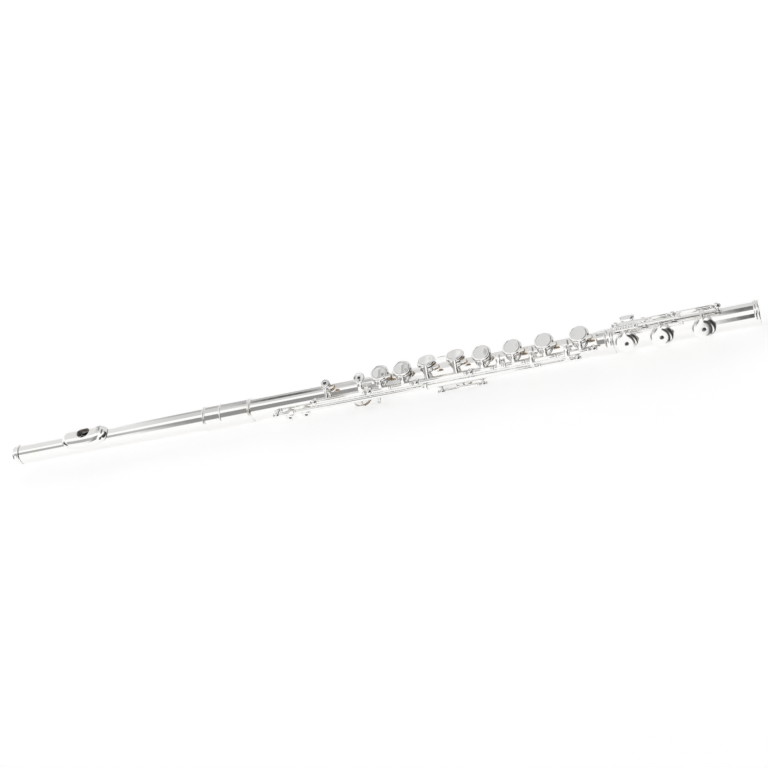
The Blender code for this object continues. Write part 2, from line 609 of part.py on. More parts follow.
def make_foot_keys():
    hinge = tuple(station(0, *FOOT_ROD).yz)
    paddle = strap([hinge, (3.6, 17.4), (6.4, 17.8), (9.0, 16.9)], 497.0, 509.5, LEVER_THICK)
    make_key("foot_d_sharp_key", FOOT_ROD, (496.8, 512.2), [FOOT_CUPS["foot_d_sharp"]], [paddle], 0.0,
             ["foot_d_sharp_pad"])
    riser = strap([hinge, (-2.0, 19.2), (-4.8, 19.4)], 519.0, 522.4, LEVER_THICK)
    bar = block(ROLLER[0], 522.4, -5.2, -2.1, 18.8, 18.8 + LEVER_THICK)
    make_key("low_c_sharp_key", FOOT_ROD, (518.8, 535.2), [FOOT_CUPS["low_c_sharp"]], [riser, bar],
             -FOOT_OPEN, ["low_c_sharp_pad"])
    y, z = ROLLER_AT
    z_low, z_high = z - LEVER_THICK / 2, z + LEVER_THICK / 2
    ear_starts = (ROLLER[0] - GAP - EAR, ROLLER[1] + GAP)
    crossing = strap([hinge, (-2.5, 18.8), (y, z)], 541.9, 545.3, LEVER_THICK)
    arm = block(ear_starts[1], 545.3, y - 1.1, y + 1.1, z_low, z_high)
    roller_frame = Matrix.Translation(Vector((0, y, z)) * MM) @ axial_frame()
    pin = rod(ROLLER_PIN_R, ear_starts[0] + EAR / 2, ear_starts[1] + EAR / 2, roller_frame)
    ears = [rod(ROLLER_R - 0.2, low, low + EAR, roller_frame) for low in ear_starts]
    outer_bar = block(ear_starts[0], ear_starts[1] + EAR, y - 3.3, y - 2.35, z_low, z_high)
    ties = [block(low, low + EAR, y - 3.0, y, z_low, z_high) for low in ear_starts]
    make_key("low_c_key", FOOT_ROD, (541.8, 569.7), [FOOT_CUPS["low_c"]],
             [crossing, arm] + ears + [outer_bar] + ties + [pin], -FOOT_OPEN, ["low_c_pad"])
    pivot = station(541.8, *FOOT_ROD)
    roller = ring(ROLLER_PIN_R + GAP, ROLLER_R, *ROLLER, roller_frame, CUP_STEPS)
    part("low_c_roller", roller, SILVER, pivot, -FOOT_OPEN)


def make_foot_end_ring():
    end_ring = ring(SLEEVE_IN_R, END_RING_R, FOOT_END - END_RING, FOOT_END, axial_frame())
    part("foot_end_ring", end_ring, SILVER)


def stand_on_ground():
    """Put the middle of the bounding box's underside at the origin."""
    bpy.context.view_layer.update()
    solids = [obj for obj in PARTS.objects if obj.type == "MESH"]
    points = [obj.matrix_world @ v.co for obj in solids for v in obj.data.vertices]
    low = Vector([min(p[i] for p in points) for i in range(3)])
    high = Vector([max(p[i] for p in points) for i in range(3)])
    FLUTE_FRAME.location = (-(low.x + high.x) / 2, -(low.y + high.y) / 2, -low.z)


def main():
    make_head_tube()
    make_lip_plate()
    make_riser()
    make_crown()
    make_stopper()
    small_cups = [C_SHARP_CUP, D_SHARP_TRILL_CUP, D_TRILL_CUP]
    lower_cups = [THUMB_CUP, G_SHARP_CUP]
    body_cups = list(TOP_CUPS.values()) + lower_cups + small_cups
    tube_with_holes("body_tube", BODY_START, BODY_END, body_cups)
    tube_with_holes("foot_tube", FOOT_START, FOOT_END, list(FOOT_CUPS.values()))
    low, high = BARREL
    top_bead = (high - BARREL_BEAD, high, BARREL_BEAD_R)
    low_bead = (low, low + BARREL_BEAD, BARREL_BEAD_R)
    sleeve("barrel", low, high, [top_bead, (*BARREL_BAND, BARREL_BAND_R), low_bead])
    sleeve("foot_socket", *SOCKET, [(SOCKET[1] - SOCKET_COLLAR, SOCKET[1], SOCKET_COLLAR_R)])
    make_foot_end_ring()
    make_ribs()
    make_steels()
    make_left_hand_keys()
    make_right_hand_keys()
    make_trill_keys()
    make_thumb_keys()
    make_g_sharp_key()
    make_foot_keys()
    stand_on_ground()


main()
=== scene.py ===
import math

import bmesh
import bpy
from mathutils import Matrix, Vector


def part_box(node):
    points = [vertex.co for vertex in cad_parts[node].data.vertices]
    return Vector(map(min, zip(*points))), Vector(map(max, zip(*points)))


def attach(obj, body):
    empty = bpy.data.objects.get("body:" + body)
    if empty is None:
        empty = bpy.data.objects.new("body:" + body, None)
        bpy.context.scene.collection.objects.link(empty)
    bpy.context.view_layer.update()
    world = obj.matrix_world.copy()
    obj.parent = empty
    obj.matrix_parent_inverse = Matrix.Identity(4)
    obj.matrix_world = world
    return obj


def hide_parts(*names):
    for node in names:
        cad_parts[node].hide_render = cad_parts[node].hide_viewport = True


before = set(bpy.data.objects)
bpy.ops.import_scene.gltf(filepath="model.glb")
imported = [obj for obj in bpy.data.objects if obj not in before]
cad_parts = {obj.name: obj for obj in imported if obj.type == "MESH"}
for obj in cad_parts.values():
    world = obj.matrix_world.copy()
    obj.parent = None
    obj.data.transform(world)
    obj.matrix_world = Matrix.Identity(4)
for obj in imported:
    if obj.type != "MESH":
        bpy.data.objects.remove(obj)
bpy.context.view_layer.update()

# A concert flute in polished silver plate. Lengths are in millimetres, as in the CAD, and become metres
# in mesh_object(). A place is (station along the tube, angle from the top towards -Y, radius from the axis).
# The camera's place is in millimetres from ORIGIN. The lamp's and the floor's lengths are in metres.
MM = 0.001
RING_LOW, RING_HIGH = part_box("foot_end_ring")
FOOT_END = 604.0
ORIGIN = Vector((RING_HIGH.x - FOOT_END * MM, (RING_LOW.y + RING_HIGH.y) / 2, (RING_LOW.z + RING_HIGH.z) / 2))

BORE_R = 9.5
WALL = 0.4
TUBE_R = BORE_R + WALL
SLEEVE_IN_R = TUBE_R + 0.35
SLEEVE_OUT_R = 10.8
EMBOUCHURE = 7.5
HEAD_START, HEAD_END = -62.0, 166.0
HEAD_BORE = ((HEAD_START, 8.55), (EMBOUCHURE, 8.75), (62.0, 9.2), (118.0, BORE_R), (HEAD_END, BORE_R))
STOPPER_FACE, STOPPER_R, STEM_END = EMBOUCHURE - 17.3, 8.3, -63.5
BODY_TUBE, FOOT_TUBE = (166.6, 487.4), (488.0, FOOT_END - 0.1)
BARREL, SOCKET, END_RING = (125.0, 171.0), (476.0, 489.5), (FOOT_END - 4.0, FOOT_END)
HOLE_X, HOLE_Y = 6.2, 5.2
PLATE_X, PLATE_ANGLE, PLATE_SHIFT = 23.0, 66.0, 6.0
PLATE_TOP_R, PLATE_EDGE_R, PLATE_THICK = 13.8, 10.4, 0.8
PLATE_FALL, PLATE_SQUARE = 6, 0.4
RIM_R = 11.4
SEAT_R = RIM_R + 0.3
BODY_HOLE, FOOT_HOLE, SMALL_HOLE = 7.0, 7.9, 3.3
OVERHANG = 1.4
MAIN_ROD, TRILL_ROD = (57.0, 15.5), (77.0, 15.5)
THUMB_ROD, G_SHARP_ROD = (-127.0, 14.5), (127.0, 14.5)
FOOT_ROD = (-4.0, 15.5)
STEEL_R, HINGE_IN_R, HINGE_R = 1.1, 1.5, 1.9
RIB_R = (TUBE_R + 0.35, 11.1)
BALL_R = 2.7
RIVET_R = 1.45
CUP_HIGH, CUP_DOME, DIMPLE = 3.28, 1.83, 2.9
FOOT_SHOULDER = 4.6
BUMPER_ANGLE, BUMPER_R = 17.0, 13.6
KEY_OPEN, G_OPEN, FOOT_OPEN = 10.0, 8.0, -8.0
TUBE_STEPS, CUP_STEPS, SMALL_CUP_STEPS, SMALL_STEPS = 96, 64, 40, 24
SHARP_ANGLE = 40.0

CAMERA_PLACE, LENS = (615.6, -771.3, 771.2), 62.81
CAMERA_RIGHT = (0.94127, 0.06396, -0.33156)
CAMERA_UP = (0.1816, 0.73199, 0.65681)
CAMERA_BACK = (0.28465, -0.67844, 0.67733)
LAMP_PLACE, LAMP_SIZE, LAMP_POWER = (-0.3, 1.3, 1.5), (1.6, 1.0), 4.0
FLOOR_HALF, FLOOR_GLOW, FLOOR_DARK_FROM, FLOOR_DARK_TO = 30.0, 0.65, 0.375, 0.385
TENT_LIGHT, TENT_COLOUR = 1.04, (1.0, 0.998, 0.994, 1.0)


# ---- places ---------------------------------------------------------------------------
def station(s, angle, radius):
    turn = math.radians(angle)
    return Vector((s, -radius * math.sin(turn), radius * math.cos(turn)))


def radial_frame(s, angle, radius=0.0):
    """Local Z points away from the tube's axis, and local X runs along the tube."""
    return Matrix.Translation(station(s, angle, radius)) @ Matrix.Rotation(math.radians(angle), 4, "X")


def axial_frame(angle=0.0, radius=0.0):
    """Local Z runs along the tube, so a height is a station."""
    return Matrix.Translation(station(0.0, angle, radius)) @ Matrix.Rotation(math.radians(90.0), 4, "Y")


# ---- shapes: each is (points, faces), in millimetres -----------------------------------
def rings_to_shape(rings, closed=False):
    """Join rings of points, each a list of the same length or a single point, with faces."""
    points, faces, index = [], [], []
    for ring in rings:
        index.append(list(range(len(points), len(points) + len(ring))))
        points += ring
    steps = max(len(ring) for ring in rings)
    pairs = list(zip(index, index[1:])) + ([(index[-1], index[0])] if closed else [])
    for a, b in pairs:
        for i in range(steps):
            j = (i + 1) % steps
            corners = [a[i % len(a)], a[j % len(a)], b[j % len(b)], b[i % len(b)]]
            corners = list(dict.fromkeys(corners))
            if len(corners) > 2:
                faces.append(tuple(corners))
    return points, faces


def rounded(points, radius, segments, closed=False):
    """Round an outline's corners. A third number in a point is its own radius."""
    result = []
    for i, point in enumerate(points):
        here = Vector(point[:2])
        own = point[2] if len(point) > 2 else radius
        if own == 0 or (not closed and i in (0, len(points) - 1)):
            result.append(here)
            continue
        before = Vector(points[i - 1][:2]) - here
        after = Vector(points[(i + 1) % len(points)][:2]) - here
        own = min(own, 0.45 * before.length, 0.45 * after.length)
        start, end = here + before.normalized() * own, here + after.normalized() * own
        for k in range(segments + 1):
            t = k / segments
            result.append(start * (1 - t) ** 2 + here * 2 * t * (1 - t) + end * t * t)
    return [tuple(p) for p in result]


def lathe(profile, matrix, steps=TUBE_STEPS, closed=False):
    """Turn (radius, height) points round the matrix's Z axis."""
    rings = []
    for radius, height in profile:
        if radius < 1e-6:
            rings.append([matrix @ Vector((0, 0, height))])
            continue
        turns = [2 * math.pi * i / steps for i in range(steps)]
        rings.append([matrix @ Vector((radius * math.cos(a), radius * math.sin(a), height)) for a in turns])
    return rings_to_shape(rings, closed)


def rod(radius, low, high, matrix, steps=SMALL_STEPS, chamfer=0.2):
    profile = rounded([(0, high), (radius, high), (radius, low), (0, low)], chamfer, 3)
    return lathe(profile, matrix, steps)


def pipe(inner, outer, low, high, matrix, steps, chamfer):
    outline = [(outer, high), (outer, low), (inner, low), (inner, high)]
    return lathe(rounded(outline, chamfer, 3, closed=True), matrix, steps, closed=True)


def smooth_path(points, count):
    """A Catmull-Rom curve through the points."""
    pts = [Vector(p) for p in points]
    pts = [2 * pts[0] - pts[1]] + pts + [2 * pts[-1] - pts[-2]]
    spans = len(pts) - 3
    result = []
    for k in range(count):
        place = k / (count - 1) * spans
        i = min(int(place), spans - 1)
        t = place - i
        a, b, c, d = pts[i:i + 4]
        result.append(0.5 * (2 * b + (c - a) * t + (2 * a - 5 * b + 4 * c - d) * t * t
                             + (3 * b - a - 3 * c + d) * t ** 3))
    return result


def mixed(values, t):
    """A value from an evenly spaced list, at t from 0 to 1."""
    place = t * (len(values) - 1)
    i = min(int(place), len(values) - 2)
    return values[i] + (values[i + 1] - values[i]) * (place - i)


def oval(width, thick, power, steps):
    """Points round a superellipse, a rounded rectangle as the power grows."""
    result = []
    for i in range(steps):
        a = 2 * math.pi * i / steps
        c, s = math.cos(a), math.sin(a)
        result.append((0.5 * width * math.copysign(abs(c) ** (2 / power), c),
                       0.5 * thick * math.copysign(abs(s) ** (2 / power), s)))
    return result


def bar(points, widths, thicks, across=(1, 0, 0), power=3.4, steps=20, count=22):
    """A bar that follows a path, with a rounded section and rounded ends."""
    path = smooth_path(points, count)
    across = Vector(across)
    rings = []
    for k, here in enumerate(path):
        along = (path[min(k + 1, count - 1)] - path[max(k - 1, 0)]).normalized()
        wide = (across - along * across.dot(along)).normalized()
        high = along.cross(wide)
        t = k / (count - 1)
        section = oval(mixed(widths, t), mixed(thicks, t), power, steps)
        if k in (0, count - 1):
            out = along if k else -along
            caps = []
            for angle in (70.0, 45.0, 20.0):
                reach, keep = math.cos(math.radians(angle)), math.sin(math.radians(angle))
                shift = out * 0.5 * mixed(thicks, t) * reach
                low = 0.5 * mixed(thicks, t) * (1 - keep)
                caps.append([here + shift + wide * (u - math.copysign(min(abs(u), low), u))
                             + high * v * keep for u, v in section])
            tip = [here + out * 0.5 * mixed(thicks, t)]
        ring = [here + wide * u + high * v for u, v in section]
        if k == 0:
            rings += [tip] + caps[::-1] + [ring]
        elif k == count - 1:
            rings += [ring] + caps + [tip]
        else:
            rings.append(ring)
    return rings_to_shape(rings)


def pillow(place, half_x, half_y, half_z, plan, rise, steps=40, levels=10):
    """A rounded plate; place() turns local (x, y, z) into a point of the flute."""
    rings = []
    for k in range(-levels, levels + 1):
        lift = math.radians(90.0 * k / levels)
        z = math.copysign(abs(math.sin(lift)) ** (2 / rise), math.sin(lift))
        keep = abs(math.cos(lift)) ** (2 / rise)
        if k in (-levels, levels):
            rings.append([place(0, 0, half_z * z)])
            continue
        section = oval(2 * half_x * keep, 2 * half_y * keep, plan, steps)
        rings.append([place(x, y, half_z * z) for x, y in section])
    return rings_to_shape(rings)


def wrapped(s, angle, radius):
    """Local Y runs round the tube, away from the top on the -Y side."""
    def place(x, y, z):
        return station(s + x, angle + math.degrees(y / radius), radius + z)
    return place


def framed(matrix):
    return lambda x, y, z: matrix @ Vector((x, y, z))


def curved_plate(inner, outer, angle_a, angle_b, s_low, s_high):
    """A long plate curved round the tube, with eased edges."""
    power = 5.0
    radius = 0.5 * (inner + outer)
    wide = abs(math.radians(angle_b - angle_a)) * radius
    middle = 0.5 * (angle_a + angle_b)
    rings = []
    for s, inset in ((s_low, 0.35), (s_low + 0.12, 0.12), (s_low + 0.4, 0.0),
                     (s_high - 0.4, 0.0), (s_high - 0.12, 0.12), (s_high, 0.35)):
        section = oval(wide - 2 * inset, outer - inner - 2 * inset, power, 32)
        place = wrapped(s, middle, radius)
        rings.append([place(0, u, v) for u, v in section])
    ends = [[sum(ring, Vector()) / len(ring)] for ring in (rings[0], rings[-1])]
    return rings_to_shape([ends[0]] + rings + [ends[1]])


# ---- materials ------------------------------------------------------------------------
def shader_tree(name):
    material = bpy.data.materials.new(name)
    material.use_nodes = True
    tree = material.node_tree
    return material, tree, tree.nodes["Principled BSDF"]


def noise(tree, scale, detail, stretch=None):
    coords = tree.nodes.new("ShaderNodeTexCoord")
    source = coords.outputs["Object"]
    if stretch:
        mapping = tree.nodes.new("ShaderNodeMapping")
        mapping.inputs["Scale"].default_value = stretch
        tree.links.new(source, mapping.inputs["Vector"])
        source = mapping.outputs["Vector"]
    node = tree.nodes.new("ShaderNodeTexNoise")
    node.inputs["Scale"].default_value = scale
    node.inputs["Detail"].default_value = detail
    node.inputs["Roughness"].default_value = 0.55
    tree.links.new(source, node.inputs["Vector"])
    return node.outputs["Fac"]


def ramp(tree, source, stops):
    """Colours at places along a value from 0 to 1."""
    node = tree.nodes.new("ShaderNodeValToRGB")
    elements = node.color_ramp.elements
    while len(elements) < len(stops):
        elements.new(0.5)
    for element, (place, colour) in zip(elements, stops):
        element.position = place
        element.color = (*colour, 1.0)
    tree.links.new(source, node.inputs["Fac"])
    return node.outputs["Color"]


def spread(tree, source, low, high, from_low=0.3, from_high=0.7):
    """A value's range from_low to from_high, spread over low to high."""
    node = tree.nodes.new("ShaderNodeMapRange")
    node.inputs["From Min"].default_value = from_low
    node.inputs["From Max"].default_value = from_high
    node.inputs["To Min"].default_value = low
    node.inputs["To Max"].default_value = high
    tree.links.new(source, node.inputs["Value"])
    return node.outputs["Result"]


def math_node(tree, operation, *values):
    node = tree.nodes.new("ShaderNodeMath")
    node.operation = operation
    for socket, value in zip(node.inputs, values):
        if isinstance(value, (int, float)):
            socket.default_value = value
        else:
            tree.links.new(value, socket)
    return node.outputs["Value"]


def bump(tree, shader, height, distance, strength=1.0):
    node = tree.nodes.new("ShaderNodeBump")
    node.inputs["Distance"].default_value = distance
    node.inputs["Strength"].default_value = strength
    tree.links.new(height, node.inputs["Height"])
    tree.links.new(node.outputs["Normal"], shader.inputs["Normal"])


def make_silver(name, fresh, worn, rough_low, rough_high, grain=(1.0, 1.0, 1.0), scratch=0.0000012):
    """Polished metal: faint warm tarnish in patches, and hairline wear that breaks up the gloss."""
    material, tree, shader = shader_tree(name)
    patches = noise(tree, 55.0, 4.0)
    hairs = noise(tree, 900.0, 2.0, grain)
    mid = tuple((a + b) / 2 for a, b in zip(fresh, worn))
    tarnish = [(0.30, fresh), (0.62, fresh), (0.74, mid), (0.86, worn)]
    tree.links.new(ramp(tree, patches, tarnish), shader.inputs["Base Color"])
    cloud = spread(tree, noise(tree, 140.0, 5.0), rough_low, rough_high)
    tree.links.new(math_node(tree, "MULTIPLY_ADD", hairs, 0.03, cloud), shader.inputs["Roughness"])
    shader.inputs["Metallic"].default_value = 1.0
    bump(tree, shader, hairs, scratch)
    return material


def make_pad_skin():
    material, tree, shader = shader_tree("pad_skin")
    wrinkles = noise(tree, 900.0, 5.0, (1.0, 1.0, 2.5))
    tans = [(0.25, (0.62, 0.47, 0.27)), (0.5, (0.78, 0.64, 0.42)), (0.75, (0.86, 0.75, 0.55))]
    tree.links.new(ramp(tree, noise(tree, 350.0, 4.0), tans), shader.inputs["Base Color"])
    tree.links.new(spread(tree, wrinkles, 0.45, 0.75), shader.inputs["Roughness"])
    shader.inputs["Specular IOR Level"].default_value = 0.4
    bump(tree, shader, wrinkles, 0.00008, 0.8)
    return material


def make_cork():
    material, tree, shader = shader_tree("cork")
    specks = noise(tree, 1400.0, 4.0)
    browns = [(0.30, (0.20, 0.11, 0.05)), (0.42, (0.50, 0.33, 0.17)), (0.65, (0.66, 0.48, 0.28))]
    tree.links.new(ramp(tree, specks, browns), shader.inputs["Base Color"])
    shader.inputs["Roughness"].default_value = 0.9
    bump(tree, shader, specks, 0.00012, 0.9)
    return material


SILVER = make_silver("silver_plate", (0.955, 0.950, 0.940), (0.90, 0.86, 0.79), 0.045, 0.095)
TUBE_SILVER = make_silver("silver_tube", (0.960, 0.955, 0.945), (0.91, 0.875, 0.81), 0.035, 0.08,
                          (0.08, 1.0, 1.0))
RISER_SILVER = make_silver("silver_riser", (0.90, 0.84, 0.79), (0.76, 0.68, 0.61), 0.46, 0.60,
                           (1.0, 1.0, 0.2))
STEEL = make_silver("spring_steel", (0.74, 0.74, 0.73), (0.52, 0.50, 0.47), 0.18, 0.30,
                    (0.1, 1.0, 1.0), 0.000003)
DARK_STEEL = make_silver("dark_steel", (0.10, 0.10, 0.11), (0.16, 0.13, 0.11), 0.25, 0.40,
                         (1.0, 1.0, 1.0), 0.000004)
PAD_SKIN = make_pad_skin()
CORK = make_cork()


# ---- pieces ---------------------------------------------------------------------------
def joined(shapes):
    points, faces = [], []
    for shape_points, shape_faces in shapes:
        start = len(points)
        points += shape_points
        faces += [tuple(start + i for i in face) for face in shape_faces]
    return points, faces


def mesh_object(name, shapes, turn=None):
    """One mesh of the shapes, in metres; turn is (a rod's place, degrees that the piece turns round it)."""
    points, faces = joined(shapes)
    move = Matrix.Translation(ORIGIN) @ Matrix.Scale(MM, 4)
    if turn:
        rod_place, degrees = turn
        pivot = station(0, *rod_place)
        move = (move @ Matrix.Translation(pivot) @ Matrix.Rotation(math.radians(degrees), 4, "X")
                @ Matrix.Translation(-pivot))
    mesh = bpy.data.meshes.new(name)
    mesh.from_pydata([move @ p for p in points], [], faces)
    edit = bmesh.new()
    edit.from_mesh(mesh)
    bmesh.ops.remove_doubles(edit, verts=edit.verts, dist=1e-7)
    bmesh.ops.recalc_face_normals(edit, faces=edit.faces)
    edit.to_mesh(mesh)
    edit.free()
    made = bpy.data.objects.new(name, mesh)
    bpy.context.scene.collection.objects.link(made)
    return made


def cut(target, cutters):
    """Exact cuts through a piece, by closed shapes that aren't kept."""
    for shape in cutters:
        tool = mesh_object("cutter", [shape])
        boolean = target.modifiers.new("cut", "BOOLEAN")
        boolean.operation = "DIFFERENCE"
        boolean.solver = "EXACT"
        boolean.object = tool
        depsgraph = bpy.context.evaluated_depsgraph_get()
        mesh = bpy.data.meshes.new_from_object(target.evaluated_get(depsgraph))
        target.modifiers.clear()
        target.data = mesh
        bpy.data.objects.remove(tool, do_unlink=True)


def piece(name, body, shapes, material, replaces=(), turn=None, holes=()):
    made = mesh_object(name, shapes, turn)
    cut(made, holes)
    made.data.materials.clear()
    made.data.materials.append(material)
    made.data.shade_smooth()
    made.data.set_sharp_from_angle(angle=math.radians(SHARP_ANGLE))
    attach(made, body)
    if replaces:
        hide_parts(*replaces)
    return made


# ---- head joint -----------------------------------------------------------------------
def hole_through(half_x, half_y, low, high, matrix):
    squeeze = Matrix.Diagonal((1.0, half_y / half_x, 1.0, 1.0))
    return lathe([(0, high), (half_x, high), (half_x, low), (0, low)], matrix @ squeeze, CUP_STEPS)


def head_radius(s):
    for (s_a, r_a), (s_b, r_b) in zip(HEAD_BORE, HEAD_BORE[1:]):
        if s <= s_b:
            return r_a + (r_b - r_a) * (s - s_a) / (s_b - s_a)
    return HEAD_BORE[-1][1]


def make_head_tube():
    steps = 38
    stations = [HEAD_END + (HEAD_START - HEAD_END) * i / steps for i in range(steps + 1)]
    outside = [(head_radius(s) + WALL, s) for s in stations]
    inside = [(head_radius(s), s) for s in reversed(stations)]
    outside[0] = (outside[0][0] - 0.12, outside[0][1])
    outside.insert(1, (outside[1][0], HEAD_END - 0.2))
    tube = lathe(outside + inside, axial_frame(), TUBE_STEPS, closed=True)
    hole = hole_through(HOLE_X, HOLE_Y, 0.0, 16.0, radial_frame(EMBOUCHURE, 0))
    piece("headjoint_tube_form", "headjoint", [tube], TUBE_SILVER, ["headjoint_tube"], holes=[hole])


def plate_ring(t, lift, steps):
    """A closed ring of the lip plate between its hole, t = 0, and its outline, t = 1."""
    start_angle = math.degrees(math.asin(HOLE_Y / PLATE_TOP_R))
    half_x = HOLE_X + (PLATE_X - HOLE_X) * t
    half_angle = start_angle + (PLATE_ANGLE - start_angle) * t
    radius = PLATE_EDGE_R + (PLATE_TOP_R - PLATE_EDGE_R) * (1.0 - t ** PLATE_FALL) + lift
    outline = oval(2 * half_x, 2 * half_angle, 2.0 + 2.0 * PLATE_SQUARE * t, steps)
    return [station(EMBOUCHURE + x, angle + PLATE_SHIFT * t, radius) for x, angle in outline]


def make_lip_plate():
    width = PLATE_X - HOLE_X
    half = 0.5 * PLATE_THICK
    places = [0.0, 0.05, 0.15, 0.3, 0.5, 0.9] + [width * k / 16 for k in range(1, 16)]
    places += [width - 0.9, width - 0.5, width - 0.3, width - 0.15, width - 0.05, width]
    rings = []
    for side in (1, -1):
        for place in places[::side]:
            edge = min(place, width - place) / 0.45
            round_off = math.sqrt(1 - (1 - min(edge, 1.0)) ** 2)
            if side < 0 and edge == 0:
                continue
            rings.append(plate_ring(place / width, side * half * round_off - half, TUBE_STEPS))
    plate = rings_to_shape(rings, closed=True)
    piece("lip_plate_form", "headjoint", [plate], SILVER, ["lip_plate"])


def make_riser():
    """The wall between the tube and the plate, each end following the curve that it meets."""
    rings = []
    low_r, high_r = head_radius(EMBOUCHURE) + WALL + 0.3, PLATE_TOP_R - PLATE_THICK - 0.4
    for grow, end_r in ((0.0, high_r), (0.0, low_r), (1.3, low_r), (0.95, low_r + 0.8), (0.95, high_r)):
        ring = []
        for i in range(CUP_STEPS):
            a = 2 * math.pi * i / CUP_STEPS
            x, y = (HOLE_X + grow) * math.cos(a), (HOLE_Y + grow) * math.sin(a)
            ring.append(Vector((EMBOUCHURE + x, y, math.sqrt(end_r ** 2 - y * y))))
        rings.append(ring)
    piece("embouchure_riser_form", "headjoint", [rings_to_shape(rings, closed=True)], RISER_SILVER,
          ["embouchure_riser"])


def make_crown():
    profile = rounded([
        (0, -66.0, 0), (1.9, -66.0), (1.9, -56.5), (8.1, -56.5), (8.1, -62.3, 0.05), (9.35, -62.3),
        (9.75, -62.9), (9.75, -63.9), (9.35, -64.4), (9.42, -66.6, 1.5), (9.0, -68.4, 1.0), (8.2, -69.0, 0.6),
        (6.2, -69.0, 0.1), (6.0, -68.85, 0.1), (5.8, -69.0, 0.1), (0, -69.0, 0)], 0.3, 4)
    piece("crown_form", "crown", [lathe(profile, axial_frame())], SILVER, ["crown"])


def make_stopper():
    """The face plate with its threaded stem, the cork, and the plate behind the cork."""
    face, wide = STOPPER_FACE, STOPPER_R
    axis = axial_frame()
    stem_r, stem_hole_r, thick, pitch = 1.5, 1.9, 1.3, 0.5
    thread = []
    for k in range(int((face - thick - STEM_END) / pitch)):
        s = face - thick - pitch * k
        thread += [(stem_r, s), (1.28, s - pitch / 2)]
    plate = [(0, face, 0), (wide - 0.4, face), (wide, face - 0.3), (wide, face - thick),
             (stem_r, face - thick, 0)]
    screw = rounded(plate, 0.12, 3) + thread[1:] + [(1.2, STEM_END + 0.1), (0, STEM_END)]
    piece("stopper_screw_form", "stopper", [lathe(screw, axis, 48)], SILVER, ["stopper_screw"])
    top = face - 1.6
    low = top - 18.0
    outline = [(stem_hole_r, top, 0.1), (wide, top, 0.5), (wide - 0.06, 0.5 * (top + low), 4.0),
               (wide, low, 0.5), (stem_hole_r, low, 0.1)]
    cork = lathe(rounded(outline, 0.4, 4, closed=True), axis, CUP_STEPS, closed=True)
    piece("stopper_cork_form", "stopper", [cork], CORK, ["stopper_cork"])
    washer = pipe(stem_hole_r, wide, low - 1.7, low - 0.3, axis, CUP_STEPS, 0.25)
    piece("stopper_plate_form", "stopper", [washer], SILVER, ["stopper_plate"])


# ---- body and foot tubes --------------------------------------------------------------
def cup_steps(hole_r):
    return SMALL_CUP_STEPS if hole_r == SMALL_HOLE else CUP_STEPS


def chimney(s, angle, hole_r):
    """A tone hole's wall: a fillet on the tube, a thin upright wall and a rolled rim."""
    matrix = radial_frame(s, angle)
    wall, fillet, roll = 0.42, 0.75, 0.33
    steps = cup_steps(hole_r)

    def surface(rho, a):
        return math.sqrt(max(TUBE_R ** 2 - (rho * math.sin(a)) ** 2, 4.0))

    rows = [(hole_r, None, -0.3), (hole_r, RIM_R - 0.36, 0)]
    for d in range(0, 226, 25):
        across, up = roll * math.cos(math.radians(d)), roll * math.sin(math.radians(d))
        rows.append((hole_r + roll - across, RIM_R - roll + up, 0))
    rows.append((hole_r + wall, RIM_R - 0.68, 0))
    for k in range(6):
        d = math.radians(18.0 * k)
        rows.append((hole_r + wall + fillet * (1 - math.cos(d)), None, fillet * (1 - math.sin(d)) + 0.01))
    rows.append((hole_r + wall + fillet, None, -0.12))
    rings = []
    for rho, height, lift in rows:
        ring = []
        for i in range(steps):
            a = 2 * math.pi * i / steps
            z = height if height is not None else min(surface(rho, a) + lift, RIM_R - 0.7)
            ring.append(matrix @ Vector((rho * math.cos(a), rho * math.sin(a), z)))
        rings.append(ring)
    return rings_to_shape(rings, closed=True)


def make_tube(name, body, low, high, holes):
    count = int((high - low) / 5.0)
    stations = [high - (high - low) * i / count for i in range(count + 1)]
    outside = [(TUBE_R, s) for s in stations]
    inside = [(BORE_R, s) for s in reversed(stations)]
    tube = lathe(outside + inside, axial_frame(), TUBE_STEPS, closed=True)
    cuts = [hole_through(r + 0.05, r + 0.05, 5.0, 14.0, radial_frame(s, a)) for s, a, r in holes]
    piece(name + "_form", body, [tube], TUBE_SILVER, [name], holes=cuts)
    for i, hole in enumerate(holes):
        piece(f"{name}_chimney_{i + 1}", body, [chimney(*hole)], SILVER)


def bead(low, high, radius, base):
    """One turned bead: (radius, station) points from its high end to its low end."""
    middle, half = 0.5 * (low + high), 0.5 * (high - low)
    points = []
    for k in range(9):
        d = math.radians(180.0 * k / 8)
        points.append((base + (radius - base) * math.sin(d) ** 0.7, middle + half * math.cos(d)))
    return points


def make_sleeve(name, body, profile):
    ring = lathe(profile, axial_frame(), TUBE_STEPS, closed=True)
    piece(name + "_form", body, [ring], SILVER, [name])


